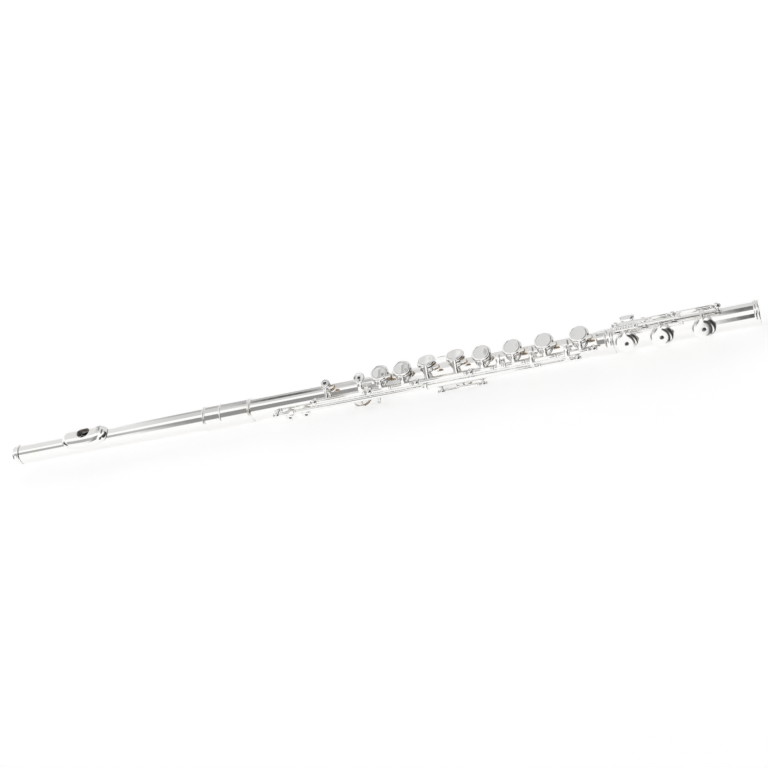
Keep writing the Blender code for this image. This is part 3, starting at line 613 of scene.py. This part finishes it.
def make_sleeves():
    """The barrel, the foot's socket and the foot's end ring, each turned from its high end to its low end."""
    low, high = BARREL
    out = SLEEVE_OUT_R
    waist_low, waist_high = 140.4, 143.6
    profile = [(SLEEVE_IN_R + 0.1, high), (out, high - 0.02)]
    profile += bead(high - 1.5, high - 0.1, 11.5, out) + bead(high - 2.9, high - 1.6, 11.2, out)
    profile += [(out, high - 3.4), (out, waist_high)] + bead(waist_low + 0.7, waist_high - 0.7, 11.25, out)
    profile += [(out, waist_low), (out, low + 3.6)]
    profile += bead(low + 1.7, low + 2.9, 11.2, out) + bead(low + 0.1, low + 1.6, 11.5, out)
    profile += [(out - 0.1, low), (SLEEVE_IN_R - 0.1, low), (SLEEVE_IN_R - 0.25, high)]
    make_sleeve("barrel", "body", profile)
    low, high = SOCKET
    profile = [(SLEEVE_IN_R - 0.1, high), (11.0, high)] + bead(high - 2.0, high - 0.1, 11.6, 11.0)
    profile += [(11.05, high - 2.6), (11.05, high - 5.2)] + bead(high - 7.0, high - 5.6, 11.5, 10.8)
    profile += [(10.7, high - 7.5), (10.65, low + 0.6), (10.5, low + 0.1), (SLEEVE_IN_R - 0.1, low)]
    make_sleeve("foot_socket", "foot_joint", profile)
    low, high = END_RING
    profile = [(BORE_R + 0.1, high), (10.8, high)] + bead(high - 1.5, high, 11.0, 10.75)
    profile += [(10.65, high - 1.9)] + bead(low + 0.1, high - 2.0, 10.95, 10.6) + [(10.3, low), (9.9, low)]
    make_sleeve("foot_end_ring", "foot_joint", profile)


# ---- posts, ribs and steels -----------------------------------------------------------
def post(s, rod_place):
    """A post turned in one piece: foot flange, waist and ball."""
    angle, radius = rod_place
    base = RIB_R[1] - 0.25
    arc = [(BALL_R * math.sin(math.radians(a)), radius + BALL_R * math.cos(math.radians(a)))
           for a in range(0, 141, 10)]
    neck = arc[-1]
    waist = rounded([neck, (1.15, neck[1] - 0.5, 0.5), (1.25, base + 0.9, 0.3), (2.3, base + 0.55, 0.25),
                     (2.4, base, 0), (0, base)], 0.3, 4)
    return lathe(arc[:-1] + waist, radial_frame(s, angle), 32)


def eyelet(s, rod_place):
    """A guide that a long hinge tube passes through."""
    angle, radius = rod_place
    base = RIB_R[1] - 0.25
    eye = pipe(HINGE_R + 0.35, 3.2, s - 1.9, s + 1.9, axial_frame(*rod_place), 32, 0.6)
    top = radius - BALL_R
    profile = [(0, top, 0), (1.5, top), (1.2, base + 0.7), (2.3, base + 0.4), (2.4, base), (0, base, 0)]
    stem = lathe(rounded(profile, 0.25, 3), radial_frame(s, angle), 24)
    return joined([eye, stem])


def screw_head(s, rod_place, facing):
    """A slotted head sunk in a post's end: a disc with two half-round lands."""
    axis = axial_frame(*rod_place)
    face = s + 0.45 * facing
    slot_half, land_r = 0.2, 1.3
    shapes = [rod(1.45, *sorted((s, face)), axis, 24, 0.12)]
    arc = [math.radians(a) for a in range(12, 169, 12)]
    outline = [(land_r * math.cos(a), land_r * math.sin(a)) for a in arc]
    for side in (1, -1):
        rings = []
        for rise, keep in ((-0.1, 1.0), (0.22, 1.0), (0.32, 0.9)):
            land = [(x * keep, side * (slot_half + (y - 0.27) * keep)) for x, y in outline]
            rings.append([axis @ Vector((x, y, face + rise * facing)) for x, y in land])
        caps = [[sum(ring, Vector()) / len(ring)] for ring in (rings[0], rings[-1])]
        shapes.append(rings_to_shape([caps[0]] + rings + [caps[1]]))
    return joined(shapes)


def spring(s_post, s_end, rod_place, side):
    """A needle spring from a post, along the rod, under its hinge tube."""
    angle, radius = rod_place
    tilt = 7.5 * side
    start = station(s_post, angle, radius - 2.0)
    middle = station(0.5 * (s_post + s_end), angle + 0.6 * tilt, radius - 2.6)
    end = station(s_end, angle + tilt, radius - 2.75)
    return bar([start, middle, end], (0.42, 0.34, 0.2), (0.42, 0.34, 0.2), (0, 0, 1), 2.0, 8, 12)


def make_rib(name, body, angles, s_low, s_high, posts, guides, screws, springs=()):
    shapes = [curved_plate(*RIB_R, *angles, s_low, s_high)]
    shapes += [post(s, place) for s, place in posts] + [eyelet(s, place) for s, place in guides]
    piece(name + "_form", body, shapes, SILVER, [name])
    if screws:
        piece(name + "_screws", body, [screw_head(*screw) for screw in screws], STEEL)
    if springs:
        piece(name + "_springs", body, [spring(*one) for one in springs], STEEL)


def make_ribs():
    """The ribs with their posts, guides, screw heads and springs."""
    m, t, th, gs, ft = MAIN_ROD, TRILL_ROD, THUMB_ROD, G_SHARP_ROD, FOOT_ROD
    out = BALL_R - 0.15
    make_rib("trill_post_base", "body", (70, 84), 192.0, 200.0, [(196.0, t)], (), [(196.0 - out, t, -1)])
    make_rib("upper_rib", "body", (52, 82), 228.0, 334.0, [(s, m) for s in (232.0, 281.5, 323.5)],
             [(330.5, t)], [(232.0 - out, m, -1)],
             [(232.0, 243.0, m, 1), (281.5, 271.0, m, 1), (281.5, 290.0, m, 1), (323.5, 314.5, m, 1),
              (323.5, 335.0, m, 1)])
    make_rib("lower_rib", "body", (52, 82), 367.0, 475.6, [(370.5, m), (473.0, m), (459.0, t)], (),
             [(473.0 + out, m, 1), (459.0 + out, t, 1)],
             [(370.5, 360.0, m, 1), (370.5, 381.0, m, 1), (473.0, 462.0, m, 1), (459.0, 448.0, t, 1)])
    make_rib("thumb_rib", "body", (-117, -130), 255.5, 298.0, [(259.0, th), (294.5, th)], (),
             [(259.0 - out, th, -1), (294.5 + out, th, 1)], [(259.0, 268.0, th, -1), (294.5, 286.0, th, -1)])
    make_rib("g_sharp_rib", "body", (117, 130), 337.5, 380.5, [(341.0, gs), (377.0, gs)], (),
             [(341.0 - out, gs, -1), (377.0 + out, gs, 1)], [(341.0, 352.0, gs, 1)])
    make_rib("foot_rib", "foot_joint", (-13, 1), 491.0, 576.5,
             [(s, ft) for s in (493.5, 515.5, 538.5, 573.0)], (),
             [(493.5 - out, ft, -1), (573.0 + out, ft, 1)],
             [(493.5, 502.0, ft, -1), (538.5, 529.0, ft, -1), (573.0, 563.0, ft, -1)])


def make_steels():
    for name, body, place, low, high in (
            ("left_hand_steel", "body", MAIN_ROD, 229.6, 323.0),
            ("g_steel", "body", MAIN_ROD, 324.0, 370.0),
            ("right_hand_steel", "body", MAIN_ROD, 371.0, 475.2),
            ("thumb_steel", "body", THUMB_ROD, 256.6, 296.9),
            ("g_sharp_steel", "body", G_SHARP_ROD, 338.6, 379.4),
            ("foot_steel", "foot_joint", FOOT_ROD, 491.1, 575.4)):
        piece(name + "_form", body, [rod(STEEL_R, low, high, axial_frame(*place))], STEEL, [name])


# ---- keys -----------------------------------------------------------------------------
def hinge_tube(low, high, rod_place):
    """A hinge tube with a turned collar and a fine groove at each end."""
    r, ease = HINGE_R, 0.05
    groove = [(r, 1.3, ease), (r - 0.16, 1.42, ease), (r - 0.16, 1.6, ease), (r - 0.02, 1.75, ease)]
    profile = [(r, high, 0.12)] + [(radius, high - step, own) for radius, step, own in groove]
    profile += [(radius, low + step, own) for radius, step, own in groove[::-1]]
    profile += [(r, low, 0.12), (HINGE_IN_R, low, ease), (HINGE_IN_R, high, ease)]
    return lathe(rounded(profile, 0.1, 2, True), axial_frame(*rod_place), SMALL_STEPS, True)


def has_rivet(cup):
    """Every cup has one but the large cups on top of the tube."""
    on_top = cup[1] <= 50.0
    return not on_top or cup[2] == SMALL_HOLE


def cup_shape(cup):
    """A key cup: a domed shoulder round a plain top, or round a dimple where it has a rivet."""
    s, angle, hole_r = cup
    r = hole_r + OVERHANG
    shoulder = FOOT_SHOULDER if hole_r == FOOT_HOLE else min(2.6, 0.36 * r)
    flat = r - shoulder
    if has_rivet(cup):
        profile = [(0.0, DIMPLE), (RIVET_R, DIMPLE), (RIVET_R + 0.1, DIMPLE + 0.18), (RIVET_R + 0.22, 3.22),
                   (RIVET_R + 0.4, CUP_HIGH), (RIVET_R + 0.5, CUP_HIGH)]
    else:
        profile = [(0.0, 3.05), (0.3 * flat, 3.08), (0.6 * flat, 3.16), (0.85 * flat, 3.23)]
    for k in range(11):
        d = math.radians(9.0 * k)
        profile.append((flat + shoulder * math.sin(d), CUP_HIGH - CUP_DOME + CUP_DOME * math.cos(d)))
    profile += [(r, 1.0), (r + 0.05, 0.9), (r + 0.05, 0.74), (r - 0.08, 0.66), (r - 0.42, 0.66),
                (r - 0.5, 0.74), (r - 0.5, 2.3), (r - 0.7, 2.42), (0, 2.42)]
    return lathe(profile, radial_frame(s, angle, SEAT_R), cup_steps(hole_r))


def rivet_shape(matrix, seat):
    """The head of the screw that holds a pad, a shallow dome in its dimple."""
    profile = [(0, seat + 0.26), (0.5 * RIVET_R, seat + 0.22), (0.85 * RIVET_R, seat + 0.1),
               (RIVET_R - 0.05, seat - 0.02), (RIVET_R - 0.05, seat - 0.2), (0, seat - 0.2)]
    return lathe(profile, matrix, 32)


def cup_arm(cup, rod_place):
    """An arm that leaves the hinge and climbs the cup's side to its shoulder."""
    s, angle, hole_r = cup
    wide = 3.4 if hole_r == SMALL_HOLE else 4.4
    r = hole_r + OVERHANG
    normal = station(0, angle, 1.0).yz
    hinge = station(0, *rod_place).yz
    top = station(0, angle, SEAT_R).yz
    towards = hinge - top
    towards = (towards - normal * towards.dot(normal)).normalized()

    def at(out, up):
        place = top + towards * out + normal * up
        return (s, place.x, place.y)

    start = (s, hinge.x, hinge.y)
    reach = (hinge - top).dot(towards)
    rise = (hinge - top).dot(normal)
    middle = at(0.5 * (reach + r) + 0.1, 0.5 * rise + 1.5)
    path = [start, middle, at(r + 0.2, 1.7), at(r - 0.5, 2.45), at(r - 1.4, 2.7)]
    return bar(path, (wide, 0.8 * wide, 0.72 * wide, 0.7 * wide, 0.5 * wide),
               (1.9, 1.5, 1.25, 1.0, 0.6), (1, 0, 0), 3.2, 20, 30)


def pad_shape(cup):
    """A pad: a skin-covered disc with a soft edge, a crease at the rim's print and a gathered back."""
    s, angle, hole_r = cup
    r = hole_r + OVERHANG - 0.72
    profile = rounded([(0, 2.2, 0), (r - 0.6, 2.2, 0.5), (r, 1.6, 0.6), (r, 0.55, 0.5), (r - 0.7, 0.06, 0.5),
                       (hole_r + 0.5, 0.02, 0.1), (hole_r + 0.3, 0.12, 0.1), (hole_r + 0.05, 0.02, 0.1),
                       (hole_r - 1.2, 0.04, 0.3), (2.0, 0.1, 0.3), (1.2, 0.16, 0.2), (0, 0.16, 0)], 0.3, 3)
    return lathe(profile, radial_frame(s, angle, SEAT_R), cup_steps(hole_r))


def make_key(name, rod_place, tube, turn=0.0, cups=(), extras=(), node=None):
    """A key or lever, built closed and then turned open. With no tube, extras hold its spindle and arm."""
    shapes = [hinge_tube(*tube, rod_place)] if tube else []
    for cup in cups:
        shapes.append(cup_shape(CUPS[cup]))
        if tube:
            shapes.append(cup_arm(CUPS[cup], rod_place))
    node = node or name + "_key"
    piece(node + "_form", name, shapes + list(extras), SILVER, [node], (rod_place, turn))
    for cup in cups:
        pad = cup + "_pad"
        piece(pad + "_form", name, [pad_shape(CUPS[cup])], PAD_SKIN, [pad], (rod_place, turn))
        if has_rivet(CUPS[cup]):
            rivet = rivet_shape(radial_frame(*CUPS[cup][:2], SEAT_R), DIMPLE)
            piece(name + "_rivet", name, [rivet], DARK_STEEL, (), (rod_place, turn))


def bumper(s, body, turn, name):
    """A cork bumper under a small silver tab at the side of a cup."""
    cork = pillow(wrapped(s, BUMPER_ANGLE, BUMPER_R), 1.6, 1.4, 2.0, 4.0, 4.0, 24, 6)
    piece(name + "_bumper", body, [cork], CORK, (), (MAIN_ROD, turn))
    path = [station(s + ds, BUMPER_ANGLE + da, BUMPER_R + 2.2) for ds, da in ((-3.2, 3), (-1.2, 2), (1.2, 1))]
    tab = bar(path, (3.4, 3.2, 2.8), (0.9, 0.8, 0.7), (0, 1, 0), 3.4, 16, 10)
    piece(name + "_tab", body, [tab], SILVER, (), (MAIN_ROD, turn))


CUPS = {
    "c_sharp": (244.0, 0.0, SMALL_HOLE), "b_flat": (293.0, 0.0, BODY_HOLE), "a": (313.0, 0.0, BODY_HOLE),
    "g_upper": (334.0, -18.0, BODY_HOLE), "g_lower": (359.0, -18.0, BODY_HOLE),
    "f_sharp": (382.0, 0.0, BODY_HOLE), "f": (408.0, 0.0, BODY_HOLE), "e": (434.5, 0.0, BODY_HOLE),
    "d": (463.5, 0.0, BODY_HOLE), "thumb": (268.0, 180.0, BODY_HOLE), "g_sharp": (359.0, 180.0, BODY_HOLE),
    "d_sharp_trill": (205.5, 104.0, SMALL_HOLE), "d_trill": (220.5, 104.0, SMALL_HOLE),
    "foot_d_sharp": (500.0, 62.0, FOOT_HOLE), "low_c_sharp": (528.0, 66.0, FOOT_HOLE),
    "low_c": (561.0, 66.0, FOOT_HOLE),
}
FOOT_NAMES = ("foot_d_sharp", "low_c_sharp", "low_c")


def in_plane(s, points):
    """Points (y, z) of the plane across the tube at station s."""
    return [(s, y, z) for y, z in points]


def make_left_hand_keys():
    hinge = tuple(station(0, *MAIN_ROD).yz)
    s = 276.0
    arm = bar(in_plane(s, [hinge, (-12.4, 12.4), (-9.4, 15.6), (-5.4, 16.7)]), (4.2, 4.0, 4.0, 4.2),
              (1.9, 1.5, 1.3, 1.1))
    matrix = Matrix.Translation((s, -3.2, 16.4))
    touch = lathe(rounded([(0, 1.12, 0), (2.4, 1.2, 1.0), (4.5, 1.62, 0.6), (5.2, 1.3, 0.5), (5.2, 0.5, 0.5),
                           (4.2, 0.0, 0.4), (0, 0, 0)], 0.4, 5), matrix, 48)
    make_key("c_sharp", MAIN_ROD, (235.2, 278.3), KEY_OPEN, ["c_sharp"], [arm, touch])
    piece("c_sharp_touch_rivet", "c_sharp", [rivet_shape(matrix, 1.15)], DARK_STEEL, (),
          (MAIN_ROD, KEY_OPEN))
    make_key("b_flat", MAIN_ROD, (284.7, 301.5), KEY_OPEN, ["b_flat"])
    make_key("a", MAIN_ROD, (302.0, 320.3), KEY_OPEN, ["a"])
    make_key("g", MAIN_ROD, (326.7, 367.3), G_OPEN, ["g_upper", "g_lower"])


def make_right_hand_keys():
    for name, low, high in (("f_sharp", 373.7, 390.5), ("f", 401.5, 417.0), ("e", 417.5, 443.0),
                            ("d", 443.5, 469.8)):
        make_key(name, MAIN_ROD, (low, high), KEY_OPEN, [name])
    hinge = tuple(station(0, *MAIN_ROD).yz)
    lever = bar(in_plane(396.0, [hinge, (-14.6, 12.0), (-11.8, 15.6), (-8.4, 16.9), (-6.9, 17.1)]),
                (5.2, 3.4, 3.6, 5.0, 3.8), (1.7, 1.2, 1.1, 1.2, 0.8))
    make_key("side_b_flat", MAIN_ROD, (391.0, 401.0), extras=[lever], node="side_b_flat_lever")


def trill_touch(s):
    path = [tuple(station(0, *TRILL_ROD).yz), (-18.0, 8.5), (-14.9, 13.9), (-10.2, 15.9)]
    arm = bar(in_plane(s, path), (3.8, 3.2, 3.2, 3.0), (1.5, 1.2, 1.2, 0.9))
    tilt = Matrix.Translation((s, -8.2, 16.25)) @ Matrix.Rotation(math.radians(14.0), 4, "X")
    touch = pillow(framed(tilt), 3.3, 3.1, 0.72, 3.4, 3.2, 40, 8)
    return [arm, touch]


def make_trill_keys():
    axis = axial_frame(*TRILL_ROD)
    profile = [(0, 461.2, 0), (STEEL_R, 461.2)]
    for low, high in ((446.5, 455.8), (199.2, 212.0)):
        profile += [(STEEL_R, high), (HINGE_R, high), (HINGE_R, low), (STEEL_R, low)]
    profile += [(STEEL_R, 193.6), (0, 193.6, 0)]
    spindle = lathe(rounded(profile, 0.15, 3), axis, SMALL_STEPS)
    arm = cup_arm(CUPS["d_sharp_trill"], TRILL_ROD)
    make_key("d_sharp_trill", TRILL_ROD, None, 0.0, ["d_sharp_trill"], [spindle, arm] + trill_touch(452.0))
    make_key("d_trill", TRILL_ROD, (212.6, 429.0), 0.0, ["d_trill"], trill_touch(423.0))


def make_thumb_keys():
    edge = CUPS["thumb"][2] + OVERHANG - 1.2
    link = bar(in_plane(268.0, [(-edge + 2.2, -14.45), (-edge, -14.0), (-12.2, -11.7)]), (3.0, 3.6, 3.8),
               (0.9, 1.5, 1.4))
    touch = pillow(wrapped(269.8, 119.5, 16.7), 5.8, 5.7, 0.62, 3.6, 3.2)
    make_key("thumb", THUMB_ROD, (262.3, 277.3), 0.0, ["thumb"], [link, touch])
    path = [tuple(station(0, *THUMB_ROD).yz), (6.0, -13.2), (-4.0, -14.0), (-12.2, -11.7)]
    lever = bar(in_plane(282.8, path), (3.8, 3.4, 3.4, 3.6), (1.6, 1.3, 1.3, 1.3))
    touch = pillow(wrapped(283.5, 120.5, 16.7), 5.1, 5.4, 0.62, 3.6, 3.2)
    make_key("thumb_b_flat", THUMB_ROD, (278.0, 291.2), extras=[lever, touch], node="thumb_b_flat_lever")


def make_g_sharp_key():
    edge = CUPS["g_sharp"][2] + OVERHANG - 1.2
    path = in_plane(358.9, [(edge - 2.0, -14.45), (edge, -14.0), (11.6, -12.2), (15.6, -6.9)])
    path += [tuple(station(358.9, a, 16.7)) for a in (-104, -92)]
    link = bar(path, (2.6, 3.2, 3.2, 3.4, 3.6, 3.8), (0.9, 1.4, 1.4, 1.3, 1.2, 1.1), (1, 0, 0), 3.2, 20, 34)
    touch = pillow(wrapped(349.6, -83.0, 16.7), 11.6, 2.7, 0.72, 3.2, 3.0)
    make_key("g_sharp", G_SHARP_ROD, (344.2, 373.8), 0.0, ["g_sharp"], [link, touch])


def make_foot_keys():
    hinge = tuple(station(0, *FOOT_ROD).yz)
    paddle = bar(in_plane(503.2, [hinge, (2.4, 17.1), (4.6, 17.8), (6.6, 17.7), (8.6, 16.9)]),
                 (7.0, 9.5, 12.0, 12.4, 9.0), (1.6, 1.5, 1.4, 1.3, 1.0), (1, 0, 0), 3.0, 32, 26)
    make_key("foot_d_sharp", FOOT_ROD, (496.8, 512.2), 0.0, ["foot_d_sharp"], [paddle])
    riser = bar(in_plane(520.7, [hinge, (-0.6, 18.2), (-2.6, 19.4), (-4.4, 19.4)]), (3.4, 3.4, 3.2, 3.0),
                (1.5, 1.3, 1.2, 1.1))
    touch = pillow(framed(Matrix.Translation((508.7, -3.65, 19.4))), 13.6, 1.55, 0.62, 4.0, 3.2, 40, 8)
    make_key("low_c_sharp", FOOT_ROD, (518.8, 535.2), FOOT_OPEN, ["low_c_sharp"], [riser, touch])
    make_low_c_key(hinge)


def make_low_c_key(hinge):
    """The last key, whose crossing arm and rail carry the roller between two ears."""
    y, z = -8.2, 18.9
    low, high = 495.0, 510.0
    axis = Matrix.Translation((0, y, z)) @ axial_frame()
    crossing = bar(in_plane(543.6, [hinge, (-2.5, 18.5), (-5.4, 19.1), (y, z)]), (3.4, 3.2, 3.0, 2.8),
                   (1.5, 1.3, 1.2, 1.2))
    rail = bar([(511.2, y, z), (522.0, y, z), (534.0, y, z), (544.6, y, z)], (2.2, 2.2, 2.3, 2.6),
               (1.2, 1.2, 1.2, 1.2), (0, 1, 0))
    pin = rod(0.8, low - 0.9, high + 0.9, axis)
    ears = [rod(1.75, low - 1.5, low - 0.3, axis, 32), rod(1.75, high + 0.3, high + 1.5, axis, 32)]
    path = [(low - 1.0, y - 2.2, z), (low - 0.2, y - 2.82, z), (high + 0.2, y - 2.82, z),
            (high + 1.0, y - 2.2, z)]
    outer = bar(path, (1.0, 0.95, 0.95, 1.0), (1.1, 1.1, 1.1, 1.1), (0, 1, 0), 3.4, 16, 24)
    ties = []
    for s in (low - 0.9, high + 0.9):
        path = in_plane(s, [(y - 0.4, z), (y - 1.6, z), (y - 2.7, z)])
        ties.append(bar(path, (1.1, 1.1, 1.1), (1.1, 1.1, 1.1), (1, 0, 0), 3.4, 16, 8))
    extras = [crossing, rail, pin, outer] + ears + ties
    make_key("low_c", FOOT_ROD, (541.8, 569.7), FOOT_OPEN, ["low_c"], extras)
    make_roller(low, high, axis)


def make_roller(low, high, axis):
    """The roller that the little finger slides on, grooved round its length."""
    outer_r, groove_r, end, count = 2.0, 1.86, 1.2, 6
    profile = [(1.1, high), (1.6, high), (1.95, high - 0.5 * end)]
    step = (high - low - 2 * end) / count
    for k in range(count):
        start = high - end - step * k
        profile += [(outer_r, start), (outer_r, start - 0.6 * step)]
        profile += [(groove_r, start - 0.75 * step), (groove_r, start - 0.85 * step)]
    profile += [(outer_r, low + end), (1.95, low + 0.5 * end), (1.6, low), (1.1, low)]
    roller = lathe(profile, axis, 48, closed=True)
    piece("low_c_roller_form", "low_c_roller", [roller], SILVER, ["low_c_roller"],
          (FOOT_ROD, FOOT_OPEN))


def make_bumpers():
    for name, body, s in (("c_sharp", "c_sharp", 251.0), ("b_flat", "b_flat", 302.0), ("g_upper", "g", 344.0),
                          ("g_lower", "g", 368.0), ("f", "f", 417.0), ("e", "e", 443.6), ("d", "d", 472.6)):
        bumper(s, body, G_OPEN if body == "g" else KEY_OPEN, name)


# ---- stage ----------------------------------------------------------------------------
def make_floor():
    """A pale floor that glows. Past the foot's end it looks dark to reflections, not to the camera."""
    material, tree, shader = shader_tree("pale_floor")
    greys = [(0.3, (0.50, 0.50, 0.50)), (0.7, (0.52, 0.52, 0.52))]
    tree.links.new(ramp(tree, noise(tree, 2.0, 2.0), greys), shader.inputs["Base Color"])
    shader.inputs["Roughness"].default_value = 0.9
    shader.inputs["Emission Color"].default_value = (1.0, 1.0, 1.0, 1.0)
    shader.inputs["Emission Strength"].default_value = FLOOR_GLOW
    coords = tree.nodes.new("ShaderNodeTexCoord")
    split = tree.nodes.new("ShaderNodeSeparateXYZ")
    tree.links.new(coords.outputs["Object"], split.inputs["Vector"])
    beyond = spread(tree, split.outputs["X"], 0.0, 1.0, FLOOR_DARK_FROM, FLOOR_DARK_TO)
    paths = tree.nodes.new("ShaderNodeLightPath")
    dark = tree.nodes.new("ShaderNodeBsdfDiffuse")
    dark.inputs["Color"].default_value = (0.02, 0.02, 0.02, 1.0)
    mix = tree.nodes.new("ShaderNodeMixShader")
    tree.links.new(math_node(tree, "MULTIPLY", beyond, paths.outputs["Is Glossy Ray"]), mix.inputs["Fac"])
    tree.links.new(shader.outputs["BSDF"], mix.inputs[1])
    tree.links.new(dark.outputs["BSDF"], mix.inputs[2])
    tree.links.new(mix.outputs["Shader"], tree.nodes["Material Output"].inputs["Surface"])
    mesh = bpy.data.meshes.new("floor")
    corners = [(x * FLOOR_HALF, y * FLOOR_HALF, 0) for x, y in ((-1, -1), (1, -1), (1, 1), (-1, 1))]
    mesh.from_pydata(corners, [], [(0, 1, 2, 3)])
    mesh.materials.append(material)
    floor = bpy.data.objects.new("floor", mesh)
    bpy.context.scene.collection.objects.link(floor)


def sky_mask(tree, parts, ranges, soft):
    """One where a direction's X, Y and Z all lie inside their ranges, fading over the soft edges."""
    mask = None
    for part, (low, high) in zip(parts, ranges):
        for edge, inside in ((low, 1.0), (high, 0.0)):
            if abs(edge) == 1.0:
                continue
            side = spread(tree, part, 1.0 - inside, inside, edge - soft, edge + soft)
            mask = side if mask is None else math_node(tree, "MULTIPLY", mask, side)
    return mask


# Each panel: ranges of a direction's X, Y and Z, its soft edge, and the part of the light that it takes away.
SKY_PANELS = (
    ((-0.455, -0.275), (-0.77, -0.24), (0.42, 1.0), 0.02, 0.72),
    ((-0.75, -0.455), (-0.58, -0.27), (0.42, 1.0), 0.03, 0.58),
    ((-0.385, -0.325), (0.45, 0.78), (0.30, 1.0), 0.015, 0.90),
    ((-0.455, -0.30), (0.78, 1.0), (0.0, 1.0), 0.02, 0.50),
    ((-0.455, -0.385), (0.18, 0.84), (0.0, 1.0), 0.02, 0.38),
    ((-0.80, -0.455), (0.08, 0.80), (0.0, 1.0), 0.03, 0.24),
    ((-0.385, -0.30), (0.10, 0.45), (0.30, 1.0), 0.02, 0.35),
    ((-0.315, -0.265), (0.34, 0.78), (0.30, 1.0), 0.012, 0.50),
    ((-0.036, 0.25), (-0.12, 0.58), (0.70, 1.0), 0.008, 0.80),
    ((-0.036, 0.25), (-0.985, -0.69), (0.05, 1.0), 0.008, 0.92),
    ((0.25, 1.0), (-0.85, 0.35), (-0.15, 0.80), 0.04, 0.95),
    ((-1.0, -0.78), (-1.0, 0.05), (-0.15, 0.45), 0.04, 0.92),
    ((-0.27, 1.0), (0.12, 1.0), (0.0, 1.0), 0.04, 0.30),
)


def make_world():
    """A white tent that dims behind its panels. The camera sees it plain white, without them."""
    world = bpy.data.worlds.new("tent")
    bpy.context.scene.world = world
    world.use_nodes = True
    tree = world.node_tree
    background = tree.nodes["Background"]
    coords = tree.nodes.new("ShaderNodeTexCoord")
    split = tree.nodes.new("ShaderNodeSeparateXYZ")
    tree.links.new(coords.outputs["Generated"], split.inputs["Vector"])
    light = None
    for *ranges, soft, dark in SKY_PANELS:
        mask = sky_mask(tree, split.outputs, ranges, soft)
        keep = math_node(tree, "SUBTRACT", 1.0, math_node(tree, "MULTIPLY", mask, dark))
        light = keep if light is None else math_node(tree, "MULTIPLY", light, keep)
    paths = tree.nodes.new("ShaderNodeLightPath")
    shown = math_node(tree, "MAXIMUM", light, paths.outputs["Is Camera Ray"])
    tree.links.new(math_node(tree, "MULTIPLY", shown, TENT_LIGHT), background.inputs["Strength"])
    background.inputs["Color"].default_value = TENT_COLOUR


def make_lights():
    """One soft lamp, hidden from reflections."""
    data = bpy.data.lights.new("key_light", "AREA")
    data.shape = "RECTANGLE"
    data.size, data.size_y = LAMP_SIZE
    data.energy = LAMP_POWER
    lamp = bpy.data.objects.new("key_light", data)
    lamp.visible_glossy = False
    bpy.context.scene.collection.objects.link(lamp)
    lamp.location = LAMP_PLACE
    lamp.rotation_mode = "QUATERNION"
    lamp.rotation_quaternion = (-Vector(LAMP_PLACE)).to_track_quat("-Z", "Y")


def make_camera():
    data = bpy.data.cameras.new("camera")
    data.lens, data.sensor_width = LENS, 36.0
    data.clip_start, data.clip_end = 0.01, 100.0
    camera = bpy.data.objects.new("camera", data)
    bpy.context.scene.collection.objects.link(camera)
    turn = Matrix((CAMERA_RIGHT, CAMERA_UP, CAMERA_BACK)).transposed()
    camera.rotation_mode = "QUATERNION"
    camera.rotation_quaternion = turn.to_quaternion()
    camera.location = ORIGIN + Vector(CAMERA_PLACE) * MM
    bpy.context.scene.camera = camera
    bpy.context.scene.view_settings.view_transform = "Standard"


make_camera()
make_head_tube()
make_lip_plate()
make_riser()
make_crown()
make_stopper()
make_tube("body_tube", "body", *BODY_TUBE, [cup for name, cup in CUPS.items() if name not in FOOT_NAMES])
make_tube("foot_tube", "foot_joint", *FOOT_TUBE, [CUPS[name] for name in FOOT_NAMES])
make_sleeves()
make_ribs()
make_steels()
make_left_hand_keys()
make_right_hand_keys()
make_trill_keys()
make_thumb_keys()
make_g_sharp_key()
make_foot_keys()
make_bumpers()
make_floor()
make_world()
make_lights()
